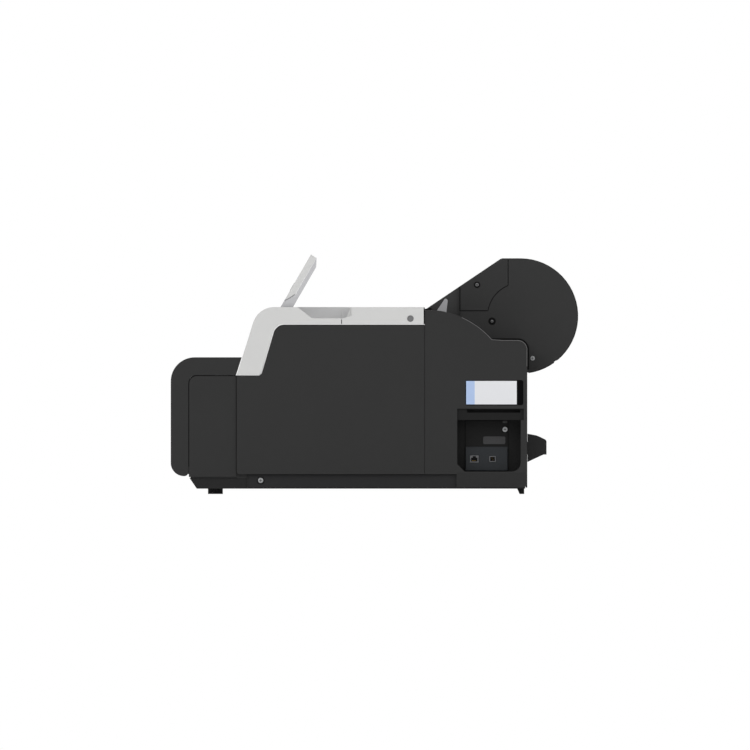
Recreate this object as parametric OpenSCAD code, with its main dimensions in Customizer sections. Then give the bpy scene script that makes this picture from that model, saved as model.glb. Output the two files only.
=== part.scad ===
// Desktop roll-fed wide format plotter, in millimetres.
// Front is -Y, up is +Z, and X = 0 is the middle. The feet stand on Z = 0.

/* [Cabinet] */
// Width across the two side panels
overall_w = 990; // [960:5:1040]
// Depth from the ink bay doors to the back of the roll cover
overall_d = 766; // [746:2:800]
// Height of the feet under the base
foot_h = 10; // [8:1:14]
// Height of the cabinet, from the underside of the base to its top
body_h = 341.4; // [334:0.2:350]
// Thickness of the moulded skins
skin = 3; // [2.5:0.1:3.5]
// Height of the base strip under the side panels
base_h = 27; // [24:1:30]
// Depth of the light top band, seen from the side
band_h = 32.3; // [30:0.1:36]
// How far the front slope leans back over its height
slope_run = 40; // [34:1:46]
// Radius of the corner between the front slope and the top
brow_r = 41; // [30:1:44]

/* [Ink bays] */
// Space between the paper's edge and each ink bay
paper_margin = 34; // [30:1:40]
// Height of each ink bay, without its door
bay_h = 191; // [186:1:196]
// How far the bays reach in front of the cabinet
bay_reach = 124; // [116:1:136]
// Depth of the door's rim, seen from the side
door_t = 34; // [32:1:38]
// Number of ink cartridges in each bay
cartridges = 5; // [3:1:5]

/* [Roll unit] */
// Depth of the rear housing
rear_d = 193; // [188:1:200]
// Radius of the roll cover
cover_r = 108.5; // [104:0.5:112]
// Height of the roll above the underside of the base
roll_h = 324.6; // [320:0.2:328]
// Half the width of the roll unit, to the outside of its cheeks
cheek_x = 330; // [324:1:336]
// Radius of a new roll of paper
paper_r = 70; // [50:1:75]
// Width of the paper, a 17 inch roll
paper_w = 432; // [400:1:440]

/* [Control panel] */
// Length of the panel from its hinge
panel_len = 123.7; // [118:0.1:124]
// Space between the panel's end and the side of the cabinet
panel_side_gap = 11; // [8:1:20]
// Thickness of the panel
panel_t = 20.4; // [17:0.1:20.6]
// Tilt of the panel above the flat, as it stands
panel_tilt = 60; // [45:1:68]

/* [Paper handling] */
// Depth of the sheet cassette
cassette_d = 350; // [320:1:352]
// Height of the sheet cassette
cassette_h = 88; // [70:1:88]
// Radius of the main feed roller
feed_r = 12; // [9:0.5:12]
// Radius of the pinch rollers on it
pinch_r = 5; // [4:0.5:6]
// Number of pinch rollers
pinch_count = 8; // [4:1:8]
// Width of the print head carriage, as a share of an ink bay's width
carriage_share = 0.5; // [0.4:0.05:0.5]
// Radius of the belt pulleys, to the belt
pulley_r = 10; // [8:0.5:11]

/* [Hidden] */
$fn = 64;

// Clearances and overruns shared by every piece
cut = 1;
seat_gap = 0.3;
seam = 0.6;
run_gap = 0.05;
slide_gap = 1;
arc_step = 6;

// Heights, from the floor up
z_base = foot_h;
z_sill = z_base + base_h;
bay_drop = 5;
z_bay = z_sill - bay_drop;
z_bay_top = z_bay + bay_h;
z_top = z_base + body_h;
z_band = z_top - band_h;
z_roll = z_base + roll_h;

// Depths, from the front back
y_front = -overall_d / 2;
y_bay = y_front + door_t;
y_body = y_front + bay_reach;
y_roll = overall_d / 2 - cover_r;
roll_overhang = 12.8;
y_rear = y_roll + roll_overhang;
y_seam = y_rear - rear_d;
bay_depth_share = 0.4359;
y_bay_back = y_body + (y_seam - y_body) * bay_depth_share;

// Half widths, from the middle out
x_side = overall_w / 2;
side_t = 4;
x_skin = x_side - side_t;
x_bay = x_skin;
x_mid = paper_w / 2 + paper_margin;
bay_w = x_bay - x_mid;
housing_set_in = 1;
x_housing = x_side - housing_set_in;

// The colours of the object
charcoal = [0.20, 0.20, 0.205];
black = [0.09, 0.09, 0.095];
light_grey = [0.80, 0.80, 0.80];
mid_grey = [0.66, 0.66, 0.67];
steel = [0.62, 0.63, 0.65];
rubber_black = [0.06, 0.06, 0.06];

// Outline helpers
function unit(v) = v / norm(v);

// The points of an arc about c, from angle a0 to a1
function arc(c, r, a0, a1) =
    let (n = max(2, ceil(abs(a1 - a0) / arc_step)))
    [for (i = [0:n]) c + r * [cos(a0 + (a1 - a0) * i / n), sin(a0 + (a1 - a0) * i / n)]];

// Corner b of a path a, b, c, rounded to radius r
function corner(a, b, c, r) =
    let (
        u = unit(a - b),
        w = unit(c - b),
        half = acos(max(-1, min(1, u * w))) / 2,
        m = b + unit(u + w) * r / sin(half),
        s = b + u * r / tan(half) - m,
        e = b + w * r / tan(half) - m,
        a0 = atan2(s.y, s.x),
        turn = ((atan2(e.y, e.x) - a0 + 540) % 360) - 180
    )
    arc(m, r, a0, a0 + turn);

// A closed outline whose corners have the radii rs, with 0 for a sharp one
function rounded(p, rs) =
    let (n = len(p))
    [for (i = [0:n - 1])
        each (rs[i] == 0 ? [p[i]] : corner(p[(i + n - 1) % n], p[i], p[(i + 1) % n], rs[i]))];

// An open path whose inner corners have the radii rs
function rounded_path(p, rs) =
    let (n = len(p))
    [for (i = [0:n - 1])
        each (i == 0 || i == n - 1 || rs[i] == 0 ? [p[i]] : corner(p[i - 1], p[i], p[i + 1], rs[i]))];

// The mitred normal of an open path at point i
function path_normal(p, i) =
    let (
        n = len(p),
        a = unit(p[max(1, i)] - p[max(1, i) - 1]),
        b = unit(p[min(n - 1, i + 1)] - p[min(n - 1, i + 1) - 1]),
        m = unit(a + b)
    )
    [-m.y, m.x] / max(0.5, m * a);

// A sheet of thickness t that follows an open path
function ribbon(p, t) =
    concat(
        [for (i = [0:len(p) - 1]) p[i] + path_normal(p, i) * t / 2],
        [for (i = [len(p) - 1:-1:0]) p[i] - path_normal(p, i) * t / 2]
    );

// A side view outline, drawn in Y and Z, made solid from x0 to x1
module across(x0, x1) {
    translate([x0, 0, 0]) rotate([90, 0, 90]) linear_extrude(x1 - x0) children();
}

// A round bar or bore along X
module bar(r, x0, x1, y, z) {
    translate([x0, y, z]) rotate([0, 90, 0]) cylinder(r = r, h = x1 - x0);
}

// A block between two corners
module block(a, b) {
    translate(a) cube(b - a);
}

module left() {
    mirror([1, 0, 0]) children();
}

// Base and feet
base_wall = 2.5;
base_x = x_skin - side_t;
base_set_back = 1.3;
skirt_t = 1.6;
skirt_run = 19;
y_base_front = y_bay + base_set_back;
y_base_back = y_rear - skin - seat_gap - seam;
base_nose = 13.6;
y_nose_end = y_bay_back + seam;
nose_drop = 2;
rail_w = 8;
cassette_side_gap = 9;
cassette_x = x_mid - cassette_side_gap;
foot_pad_r = 14;
foot_in = 40;
foot_pad_y = y_body - foot_in;
foot_pad_x = base_x - foot_in;
leg_d = 13.3;
leg_set_in = 1.9;
y_leg = y_base_back - leg_set_in;
leg_w = 28;
leg_taper = 4.7;
base_screw_at = [45, 15.5];
base_screw = [y_body, z_base] + base_screw_at;
base_screw_r = 4.7;
stand_hole_r = 2.5;
stand_hole_x = 330;
stand_hole_ys = [-150, 150];

module base_profile() {
    polygon([
        [y_base_front + base_nose, z_base], [y_base_back, z_base], [y_base_back, z_sill - seat_gap],
        [y_nose_end, z_sill - seat_gap], [y_nose_end, z_bay - nose_drop], [y_base_front, z_bay - nose_drop]
    ]);
}

module base_pan() {
    rail_z = z_base + base_wall;
    color(black) {
        difference() {
            across(-base_x, base_x) base_profile();
            block([-base_x + base_wall, y_base_front + 2 * base_nose, rail_z],
                  [base_x - base_wall, y_base_back - base_wall, z_top]);
            for (side = [-1, 1])
                translate([side * foot_pad_x, foot_pad_y, z_base - cut]) cylinder(r = stand_hole_r, h = base_wall + 2 * cut);
            for (side = [-1, 1], y = stand_hole_ys)
                translate([side * stand_hole_x, y, z_base - cut]) cylinder(r = stand_hole_r, h = base_wall + 2 * cut);
        }
        for (side = [-1, 1])
            translate([side * (cassette_x - 2 * rail_w), 0, 0])
                block([-rail_w / 2, y_base_front + 2 * base_nose, rail_z - base_wall / 2],
                      [rail_w / 2, y_body + cassette_d - bay_reach, z_cassette - seat_gap]);
        for (side = [0, 1]) mirror([side, 0, 0]) {
            block([base_x - base_wall / 2, y_body + skirt_run, z_base + heel_lift], [base_x + skirt_t, y_base_back, z_bay - nose_drop]);
            block([base_x + seat_gap, y_body + skirt_run, z_base + heel_lift], [base_x + skirt_t, y_base_back, z_sill - seat_gap]);
        }
    }
}

module feet() {
    color(rubber_black) {
        for (side = [-1, 1]) {
            translate([side * foot_pad_x, foot_pad_y, 0]) {
                cylinder(r = foot_pad_r, h = foot_h);
                cylinder(r = stand_hole_r - run_gap, h = foot_h + base_wall);
            }
            translate([side * foot_pad_x, 0, 0]) across(-leg_w / 2, leg_w / 2)
                polygon([
                    [y_leg - leg_d, foot_h], [y_leg, foot_h],
                    [y_leg, 0], [y_leg - leg_d + leg_taper, 0]
                ]);
        }
    }
}

// The front slope and the top band, in side view
band_front_d = 45.1;
band_foot_r = 6.5;
band_elbow_r = 20;
z_slope = z_bay_top + seat_gap;
slope_rise = z_top - z_slope;
slope_slant = norm([slope_run, slope_rise]) / slope_rise;
function slope_y(z) = y_body + (z - z_slope) * slope_run / slope_rise;
inner_lean_share = 0.94;
fascia_d = 196.6;
y_fascia = y_body + fascia_d;
y_cap = y_fascia + 2 * seam;
y_inner_foot = y_body + band_front_d;
y_inner_elbow = y_inner_foot + (z_band - z_slope) * slope_run / slope_rise * inner_lean_share;

// The outer line of slope and top, moved in by t, and closed down to z0 at the depth y1
module slope_body(t, y1, z0) {
    polygon(rounded([
        [slope_y(z0) + t * slope_slant, z0],
        [slope_y(z_top - t) + t * slope_slant, z_top - t],
        [y1, z_top - t], [y1, z0]
    ], [0, brow_r - t, 0, 0]));
}

module slope_skin(y1) {
    difference() {
        slope_body(0, y1, z_slope);
        slope_body(skin, y1 + cut, z_slope - cut);
    }
}

module side_band() {
    polygon(rounded([
        [y_body, z_slope], [slope_y(z_top), z_top], [y_fascia, z_top],
        [y_fascia, z_band], [y_inner_elbow, z_band], [y_inner_foot, z_slope]
    ], [0, brow_r, 0, 0, band_elbow_r, band_foot_r]));
}

// Side panels
panel_rib_d = 5;
panel_rib_count = 3;
panel_rib_w = 3;
panel_rib_in = 20;
panel_corner_r = 4;

module side_panel() {
    g = seam;
    panel_rib_y0 = y_bay_back + panel_rib_in;
    rib_pitch = (y_seam - panel_rib_y0 - panel_rib_in) / (panel_rib_count - 1);
    color(charcoal) {
        across(x_skin, x_side)
            polygon(rounded([
                [y_body, z_sill], [y_seam - g, z_sill], [y_seam - g, z_band - g],
                [y_inner_elbow + g, z_band - g], [y_inner_foot + g, z_slope - g], [y_body, z_slope - g]
            ], [panel_corner_r, 0, 0, band_elbow_r + g, band_foot_r, 0]));
        for (i = [0:panel_rib_count - 1])
            translate([0, panel_rib_y0 + i * rib_pitch, 0])
                block([x_skin - panel_rib_d, 0, z_sill + panel_rib_d], [x_skin, panel_rib_w, z_band - panel_rib_d]);
    }
}

module side_panel_right() { side_panel(); }
module side_panel_left() { left() side_panel(); }

// Ink bays
bay_wall = 3;
bay_inner_step = 4;
bay_nose_r = 15;
hinge_inset = 8;
door_lift = 1.5;
z_door = z_bay + door_lift;
door_pin = [y_bay - seam - hinge_inset, z_door + hinge_inset];
pin_r = 3;
ear_r = 5.5;
ear_t = 4;
ear_h = 8;
ear_set_in = 2.5;
ear_x0 = x_mid + bay_wall + ear_set_in;
ear_x1 = x_bay - bay_wall - ear_set_in;

module bay_side(y1) {
    polygon(rounded([[y_bay, z_bay], [y1, z_bay], [y1, z_bay_top], [y_bay, z_bay_top]], [0, 0, 0, bay_nose_r]));
}

module bay_housing() {
    x_inner = x_bay - bay_inner_step;
    color(charcoal) {
        difference() {
            union() {
                across(x_inner - bay_wall, x_bay) bay_side(y_body - seam);
                across(x_mid, x_inner) bay_side(y_bay_back);
            }
            block([x_mid + bay_wall, y_bay - cut, z_bay + bay_wall],
                  [x_inner - bay_wall, y_bay_back - bay_wall, z_bay_top - bay_wall]);
        }
        for (x = [ear_x0, ear_x1 - ear_t]) {
            block([x, door_pin.x, door_pin.y - ear_h / 2], [x + ear_t, y_bay + bay_wall, door_pin.y + ear_h / 2]);
            bar(ear_r, x, x + ear_t, door_pin.x, door_pin.y);
        }
        block([ear_x0, y_bay, z_bay], [ear_x0 + ear_t, y_bay + bay_wall, door_pin.y + ear_h / 2]);
        block([ear_x1 - ear_t, y_bay, z_bay], [ear_x1, y_bay + bay_wall, door_pin.y + ear_h / 2]);
        bar(pin_r, x_mid + slide_gap, ear_x0 + ear_t, door_pin.x, door_pin.y);
        bar(pin_r, ear_x1 - ear_t, x_bay, door_pin.x, door_pin.y);
    }
}

module bay_housing_right() { bay_housing(); }
module bay_housing_left() { left() bay_housing(); }

door_nose_r = 45;
door_chin_r = 25;
door_top = z_bay_top + door_t;
door_x0 = x_mid + slide_gap;

// The door's outer boundary, moved in by t and closed at the depth y1
module door_body(t, y1, z0) {
    polygon(rounded([
        [y_front + t, z0], [y_front + t, door_top - t], [y1, door_top - t], [y1, z0]
    ], [door_chin_r - t, door_nose_r - t, 0, 0]));
}

module door_side() {
    y_edge = y_bay - seam;
    z_edge = z_bay_top + seam;
    lip = slope_run * door_t / slope_rise;
    polygon(rounded([
        [y_front, z_door], [y_front, door_top], [y_body + lip - 2 * seam, door_top],
        [y_body - 2 * seam, z_edge], [y_edge, z_edge], [y_edge, z_door]
    ], [door_chin_r, door_nose_r, 0, 0, bay_nose_r, hinge_inset]));
}

module bay_door() {
    color(charcoal) difference() {
        across(door_x0, x_bay) door_side();
        across(door_x0 + skin, x_bay - skin) door_body(skin, y_body + door_t, z_door + skin);
        for (x = [ear_x0 - slide_gap, ear_x1 - ear_t - slide_gap])
            block([x, door_pin.x - hinge_inset, z_bay - cut], [x + ear_t + 2 * slide_gap, y_bay + cut, door_pin.y + ear_r + ear_h]);
        bar(pin_r + run_gap, x_mid, x_side, door_pin.x, door_pin.y);
    }
}

module bay_door_right() { bay_door(); }
module bay_door_left() { left() bay_door(); }

cartridge_share = 0.87;
cartridge_h = 150;
cartridge_d = 190;
cartridge_nose = 8;

module ink_cartridges() {
    x0 = x_mid + bay_wall;
    pitch = (x_bay - bay_inner_step - bay_wall - x0) / cartridges;
    cartridge_w = pitch * cartridge_share;
    y0 = y_bay_back - bay_wall - seat_gap - cartridge_d;
    z0 = z_bay + bay_wall + seat_gap;
    color(black) for (side = [-1, 1], i = [0:cartridges - 1]) {
        x = side * (x0 + (i + 0.5) * pitch);
        translate([x, 0, 0]) {
            block([-cartridge_w / 2, y0, z0], [cartridge_w / 2, y0 + cartridge_d, z0 + cartridge_h]);
            block([-cartridge_w / 4, y0 - cartridge_nose, z0 + cartridge_h / 3],
                  [cartridge_w / 4, y0 + cut, z0 + cartridge_h * 2 / 3]);
        }
    }
}

// Light fascias at the front corners. The right one carries the control panel.
hinge_at = [89, -14.9];
hinge = [y_body, z_top] + hinge_at;
panel_mid_gap = 18;
panel_x0 = x_mid + panel_mid_gap;
panel_x1 = x_bay - panel_side_gap;
hinge_pin_r = 3;
pocket_d = 26.6;
pocket_floor = z_top - pocket_d;
pocket_run = 4.6;
pocket_front = hinge.x + pocket_run;
pocket_slant = 22.5;
pocket_end = hinge.x + panel_len + slide_gap * 1.3;
pocket_side_gap = 8;
pocket_x0 = panel_x0 - pocket_side_gap;
pocket_x1 = panel_x1 + pocket_side_gap / 2;
mouth_in = 20.9;
mouth_slant = 27;
mouth_drop = 21.1;
mouth_ramp = 15.8;
mouth_rise = 5;
mouth_over = 2;
well_wall = 3;
well_x0 = panel_x0 - well_wall;
well_x1 = panel_x1 + well_wall;
well_run = 15;
well_front = hinge.x - well_run;
well_back = pocket_front + pocket_slant;

module pocket() {
    rise = 3;
    run_in = 27;
    slope_out = 9;
    polygon([
        [pocket_front - cut * pocket_slant / (z_top - pocket_floor), z_top + cut],
        [pocket_front + pocket_slant, pocket_floor], [pocket_end - run_in, pocket_floor],
        [pocket_end - slope_out, pocket_floor + rise + seam], [pocket_end, z_top + cut]
    ]);
}

// The lower opening of the pocket through the side of the case
module side_mouth() {
    mouth_floor = z_top - mouth_drop;
    y0 = pocket_front + mouth_in;
    y1 = pocket_end + mouth_over;
    polygon([
        [y0 - cut * mouth_slant / mouth_drop, z_top + cut], [y0 + mouth_slant, mouth_floor],
        [y1 - mouth_ramp, mouth_floor], [y1, mouth_floor + mouth_rise], [y1, z_top + cut]
    ]);
}

module pocket_cut() {
    across(pocket_x0, pocket_x1) pocket();
    across(pocket_x1 - cut, x_side + cut) side_mouth();
}

module fascia_shell() {
    color(light_grey) {
        across(x_mid, x_skin) slope_skin(y_fascia);
        across(x_skin, x_side) side_band();
        across(x_mid, x_mid + skin) difference() {
            slope_body(0, y_fascia, z_slope);
            polygon([
                [y_inner_foot, z_slope - cut], [y_inner_elbow, z_band],
                [y_fascia + cut, z_band], [y_fascia + cut, z_slope - cut]
            ]);
        }
    }
}

module fascia_right() {
    color(light_grey) difference() {
        union() {
            fascia_shell();
            block([pocket_x0 - well_wall, well_front - well_wall, pocket_floor - well_wall], [x_skin + cut, y_fascia, z_top]);
        }
        pocket_cut();
        block([well_x0, well_front, pocket_floor], [well_x1, well_back, z_top + cut]);
        bar(hinge_pin_r + run_gap, well_x0 - well_wall - cut, well_x1 + well_wall + cut, hinge.x, hinge.y);
    }
}

module fascia_left() { left() fascia_shell(); }

// Light caps behind the fascias
cap_plug_at = [-26.6, 10.6];
cap_plug = [y_seam, z_band] + cap_plug_at;
cap_plug_r = 6;
plug_t = 1.6;
cap_block_d = 19;
cover_hinge_at = [-15, -6];
cover_hinge = [y_seam, z_top] + cover_hinge_at;
cover_pin_r = 2.5;

module cap_shell() {
    y0 = y_cap;
    y1 = y_seam - seam / 2;
    color(light_grey) difference() {
        union() {
            block([x_mid, y0, z_top - skin], [x_skin, y1, z_top]);
            block([x_skin - cut, y0, z_band], [x_side, y1, z_top]);
            block([x_mid, y1 - skin, z_band], [x_skin, y1, z_top]);
            block([x_mid, y0, z_band], [x_mid + skin, y1, z_top]);
        }
        bar(cap_plug_r + seat_gap / 2, x_side - 1.2 * plug_t, x_side + cut, cap_plug.x, cap_plug.y);
        bar(cover_pin_r + run_gap, x_mid - cut, x_mid + skin + cut, cover_hinge.x, cover_hinge.y);
    }
}

module top_cap_right() {
    y0 = y_cap;
    color(light_grey) difference() {
        union() {
            cap_shell();
            block([pocket_x0 - well_wall, y0, pocket_floor - well_wall], [x_skin, y0 + cap_block_d, z_top]);
        }
        pocket_cut();
    }
}

module top_cap_left() { left() cap_shell(); }

// Dark front frame between the bays, round the paper exit and the cassette
frame_t = 8;
y_frame = y_body + frame_t;
cassette_lift = 1.5;
z_cassette = z_sill + cassette_lift;
z_cassette_top = z_cassette + cassette_h;
frame_side = 20;
frame_sill = 24;
frame_head = 14;
frame_lap = 3;
exit_x = x_mid - frame_side;
z_exit = z_cassette_top + frame_sill;
z_exit_top = z_bay_top - frame_head;

module front_frame() {
    color(black) difference() {
        block([-x_mid + seat_gap, y_frame, z_sill + seat_gap - frame_lap / 3], [x_mid - seat_gap, y_frame + frame_t, z_bay_top - frame_lap]);
        block([-cassette_x - slide_gap, y_frame - cut, z_base], [cassette_x + slide_gap, y_frame + frame_t + cut, z_cassette_top + slide_gap]);
        block([-exit_x, y_frame - cut, z_exit], [exit_x, y_frame + frame_t + cut, z_exit_top]);
    }
}

// Rear housings on both sides of the roll
hump_r = 163.6;
hump_at = [3.5, -5];
hump = [y_seam, z_top - hump_r] + hump_at;
shoulder_drop = 62.1;
z_shoulder = z_top - shoulder_drop;
shoulder_r = 18;
heel_r = 9;
step_run = 60;
y_step = y_seam + step_run;
heel_lift = 2;
z_heel = z_base + heel_lift;

// The housing in side view, with everything moved in by t
function housing_points(t) =
    let (
        a_shoulder = asin((z_shoulder - t - hump.y) / (hump_r - t)),
        a_front = 90 + asin((hump.x - y_seam - t) / (hump_r - t)),
        bow = arc(hump, hump_r - t, a_front, a_shoulder),
        rest = rounded([
            bow[len(bow) - 1], [y_rear - t, z_shoulder - t], [y_rear - t, z_heel - t],
            [y_step + t, z_heel - t], [y_step + t, z_sill + t], [y_seam + t, z_sill + t]
        ], [0, shoulder_r - t, t > 0 ? 0 : heel_r, 0, 0, 0])
    )
    concat(bow, [for (i = [1:len(rest) - 1]) rest[i]]);

module housing_shell() {
    difference() {
        across(cheek_x + seat_gap, x_housing) polygon(housing_points(0));
        across(cheek_x + seat_gap + skin, x_housing - skin) polygon(housing_points(skin));
        block([cheek_x - cut, y_step - cut, z_base - cut], [x_housing - skin, y_rear - skin, z_sill + seat_gap]);
        block([-cut + cheek_x, y_step - skin - cut, z_base - cut], [x_housing - skin, y_step + skin + cut, z_sill + seat_gap]);
    }
}

// Connector recess in the right housing
port_rim = 12.3;
port_lift = 32;
port_h = 97;
hood_h = 21.3;
hood_over = 5.7;
hood_slot_in = [18.5, 6.7];
hood_slot_h = 6;
hood_slot_drop = 1.3;
port_y0 = y_step + 2 * seam;
port_y1 = y_rear - port_rim;
port_z0 = z_base + port_lift;
port_z1 = port_z0 + port_h;
port_hood_z = port_z1 + hood_h;
port_depth = 40;
port_corner_r = 17;
port_chamfer = 14;
hood_step = 4;
x_port = x_housing - port_depth;

module port_mouth(t) {
    polygon(rounded([
        [port_y0 - t, port_z0 + port_chamfer - t], [port_y0 + port_chamfer - t, port_z0 - t],
        [port_y1 + t, port_z0 - t], [port_y1 + t, port_hood_z + t], [port_y0 - t, port_hood_z + t]
    ], [0, 0, port_corner_r + t, 0, 0]));
}

lever_set_out = 22;
lever_x = cheek_x + lever_set_out;
lever_w = 9;
lever_slot = 32;
lever_slot_back = 10;
lever_at = [36, -28.4];
lever_pivot = [y_seam, z_top] + lever_at;

module rear_housing_right() {
    color(charcoal) difference() {
        union() {
            housing_shell();
            intersection() {
                across(x_port - skin, x_housing - cut) port_mouth(skin);
                block([0, y_seam, z_base], [x_housing, y_rear - seam, z_top]);
            }
            block([x_housing - hood_step - skin, port_y1, port_z1 - skin],
                  [x_housing - cut, port_y1 + hood_over + skin, port_hood_z + skin]);
        }
        difference() {
            across(x_port, x_housing + cut) port_mouth(0);
            block([x_housing - hood_step - skin, port_y0 - cut, port_z1], [x_housing - hood_step, port_y1 + cut, port_hood_z + cut]);
        }
        block([x_housing - hood_step, port_y0, port_z1], [x_housing + cut, port_y1 + hood_over, port_hood_z]);
        block([x_housing - hood_step - skin - cut, port_y0 + hood_slot_in[0], port_hood_z - hood_slot_drop - hood_slot_h],
              [x_housing, port_y1 + hood_over - hood_slot_in[1], port_hood_z - hood_slot_drop]);
        block([x_port - skin - cut, board_y0, board_z0], [x_port + cut, board_y0 + board_d, board_z0 + port_box_h]);
        lever_slot_cut();
    }
    color(charcoal) {
        bar(pin_r, cheek_x + skin, lever_x + lever_w + skin, lever_pivot.x, lever_pivot.y);
        bar(2 * pin_r, cheek_x + skin, lever_x - slide_gap, lever_pivot.x, lever_pivot.y);
    }
}

module lever_slot_cut() {
    block([lever_x - slide_gap, lever_pivot.x - lever_slot, z_top - band_h], [lever_x + lever_w + slide_gap, lever_pivot.x + lever_slot_back, z_top]);
}

module rear_housing_left() {
    color(charcoal) difference() {
        left() housing_shell();
        bar(pinion_hole_r, -cheek_x - 2 * skin, 0, pinion_at.x, pinion_at.y);
    }
}

// Sockets behind the recess
board_in = 15.5;
board_lift = 2;
board_y0 = port_y0 + board_in;
board_d = 80;
board_z0 = port_z0 + board_lift;
port_box_h = 44;
port_plate_t = 2;
net_run = 16.6;
usb_run = 51;
socket_rise = 21.8;
net_y = board_y0 + net_run;
usb_y = board_y0 + usb_run;
socket_z = board_z0 + socket_rise;
net_shell = [16, 13.5];
usb_shell = [12, 11];
socket_t = 16;
x_board = x_port + 3 * port_plate_t + seam - socket_t - seat_gap;

module socket_hole(y, size, grow) {
    block([x_board, y - size.x / 2 - grow, socket_z - size.y / 2 - grow],
          [x_side, y + size.x / 2 + grow, socket_z + size.y / 2 + grow]);
}

module port_panel() {
    plate_h = port_z1 - board_z0 - slide_gap;
    color([0.17, 0.19, 0.21]) difference() {
        union() {
            block([x_port + seat_gap, board_y0, board_z0 - seam], [x_port + seat_gap + port_plate_t, board_y0 + board_d, board_z0 + plate_h]);
            block([x_port + seat_gap, board_y0 + seam, board_z0], [x_port + 3 * port_plate_t, board_y0 + board_d - 2 * seam, board_z0 + port_box_h]);
        }
        socket_hole(net_y, net_shell, seat_gap);
        socket_hole(usb_y, usb_shell, seat_gap);
    }
}

module network_socket() {
    mouth = [11.8, 7];
    key = [6, 3];
    x1 = x_port + 3 * port_plate_t + seam;
    floor_t = 2;
    z0 = socket_z - net_shell.y / 2 + floor_t;
    color(steel) difference() {
        block([x1 - socket_t, net_y - net_shell.x / 2, socket_z - net_shell.y / 2], [x1, net_y + net_shell.x / 2, socket_z + net_shell.y / 2]);
        block([x1 - socket_t + skin, net_y - mouth.x / 2, z0], [x1 + cut, net_y + mouth.x / 2, z0 + mouth.y]);
        block([x1 - socket_t + skin, net_y - key.x / 2, z0], [x1 + cut, net_y + key.x / 2, z0 + mouth.y + key.y]);
    }
}

module usb_socket() {
    mouth = [8.6, 7.8];
    tongue = [5.6, 3];
    x1 = x_port + 3 * port_plate_t + seam;
    tongue_back = 7;
    color(steel) {
        difference() {
            block([x1 - socket_t, usb_y - usb_shell.x / 2, socket_z - usb_shell.y / 2], [x1, usb_y + usb_shell.x / 2, socket_z + usb_shell.y / 2]);
            block([x1 - socket_t + skin, usb_y - mouth.x / 2, socket_z - mouth.y / 2], [x1 + cut, usb_y + mouth.x / 2, socket_z + mouth.y / 2]);
        }
        block([x1 - socket_t + cut, usb_y - tongue.x / 2, socket_z - tongue.y / 2], [x1 - tongue_back, usb_y + tongue.x / 2, socket_z + tongue.y / 2]);
    }
}

board_t = 1.6;
pcb_rear_gap = 14;
pcb_front_gap = 18;
pcb_lift = 6;
pcb_h = 150;
board_y1 = y_rear - pcb_rear_gap;
chip_h = 3;
standoff_in = 12;
standoff_r = 3;
chip_sizes = [[24, 24], [14, 20], [14, 20], [30, 18]];
chip_y_shares = [0.25, 0.55, 0.72, 0.4];
chip_z_shares = [0.7, 0.75, 0.75, 0.3];

module main_board() {
    y0 = y_seam + pcb_front_gap;
    z0 = z_sill + pcb_lift;
    color([0.10, 0.30, 0.16]) block([x_board - board_t, y0, z0], [x_board, board_y1, z0 + pcb_h]);
    color(steel) for (y = [port_y0 + standoff_in, board_y1 - standoff_in], z = [port_z1 - 2 * standoff_in, port_hood_z - standoff_in])
        bar(standoff_r, x_board - cut / 2, x_port - skin - seat_gap, y, z);
    color(black) for (i = [0:len(chip_sizes) - 1]) {
        y = y0 + (board_y1 - y0) * chip_y_shares[i];
        z = z0 + pcb_h * chip_z_shares[i];
        block([x_board - board_t - chip_h, y - chip_sizes[i].x / 2, z - chip_sizes[i].y / 2],
              [x_board - board_t + board_t / 2, y + chip_sizes[i].x / 2, z + chip_sizes[i].y / 2]);
    }
}

// Back wall, power inlet and supply
inlet_x = -290;
inlet_lift = 76;
inlet_z = z_base + inlet_lift;
inlet_body = [28, 24];
inlet_flange = [40, 30];
inlet_mouth = [24.4, 16.4];
inlet_d = 22;
inlet_flange_t = 2.5;
inlet_pin = 3;
inlet_pin_len = 8;

module rear_cover() {
    vent_count = 12;
    vent_w = 4;
    vent_h = 60;
    vent_z = z_base + vent_h;
    vent_x = 60;
    color(charcoal) difference() {
        block([-cheek_x + seat_gap, y_rear - skin, z_heel], [cheek_x - seat_gap, y_rear, z_bed_back - seam]);
        block([inlet_x - inlet_body.x / 2 - seat_gap, y_rear - skin - cut, inlet_z - inlet_body.y / 2 - seat_gap],
              [inlet_x + inlet_body.x / 2 + seat_gap, y_rear + cut, inlet_z + inlet_body.y / 2 + seat_gap]);
        for (i = [0:vent_count - 1])
            translate([vent_x + i * 3 * vent_w, 0, 0])
                block([0, y_rear - skin - cut, vent_z], [vent_w, y_rear + cut, vent_z + vent_h]);
    }
}

module power_inlet() {
    pin_dx = 7;
    pin_dz = 2;
    color(black) difference() {
        union() {
            block([inlet_x - inlet_body.x / 2, y_rear - inlet_d, inlet_z - inlet_body.y / 2],
                  [inlet_x + inlet_body.x / 2, y_rear + seat_gap + inlet_flange_t, inlet_z + inlet_body.y / 2]);
            block([inlet_x - inlet_flange.x / 2, y_rear + seat_gap, inlet_z - inlet_flange.y / 2],
                  [inlet_x + inlet_flange.x / 2, y_rear + seat_gap + inlet_flange_t, inlet_z + inlet_flange.y / 2]);
        }
        block([inlet_x - inlet_mouth.x / 2, y_rear - inlet_d + inlet_flange_t, inlet_z - inlet_mouth.y / 2],
              [inlet_x + inlet_mouth.x / 2, y_rear + inlet_d, inlet_z + inlet_mouth.y / 2]);
    }
    color(steel) for (p = [[-pin_dx, -pin_dz], [0, pin_dz], [pin_dx, -pin_dz]])
        block([inlet_x + p.x - inlet_pin / 2, y_rear - inlet_d + inlet_flange_t - cut, inlet_z + p.y - inlet_pin],
              [inlet_x + p.x + inlet_pin / 2, y_rear - inlet_d + inlet_flange_t + inlet_pin_len, inlet_z + p.y + inlet_pin]);
}

supply = [190, 130, 70];
mid_gap = 40;

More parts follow.
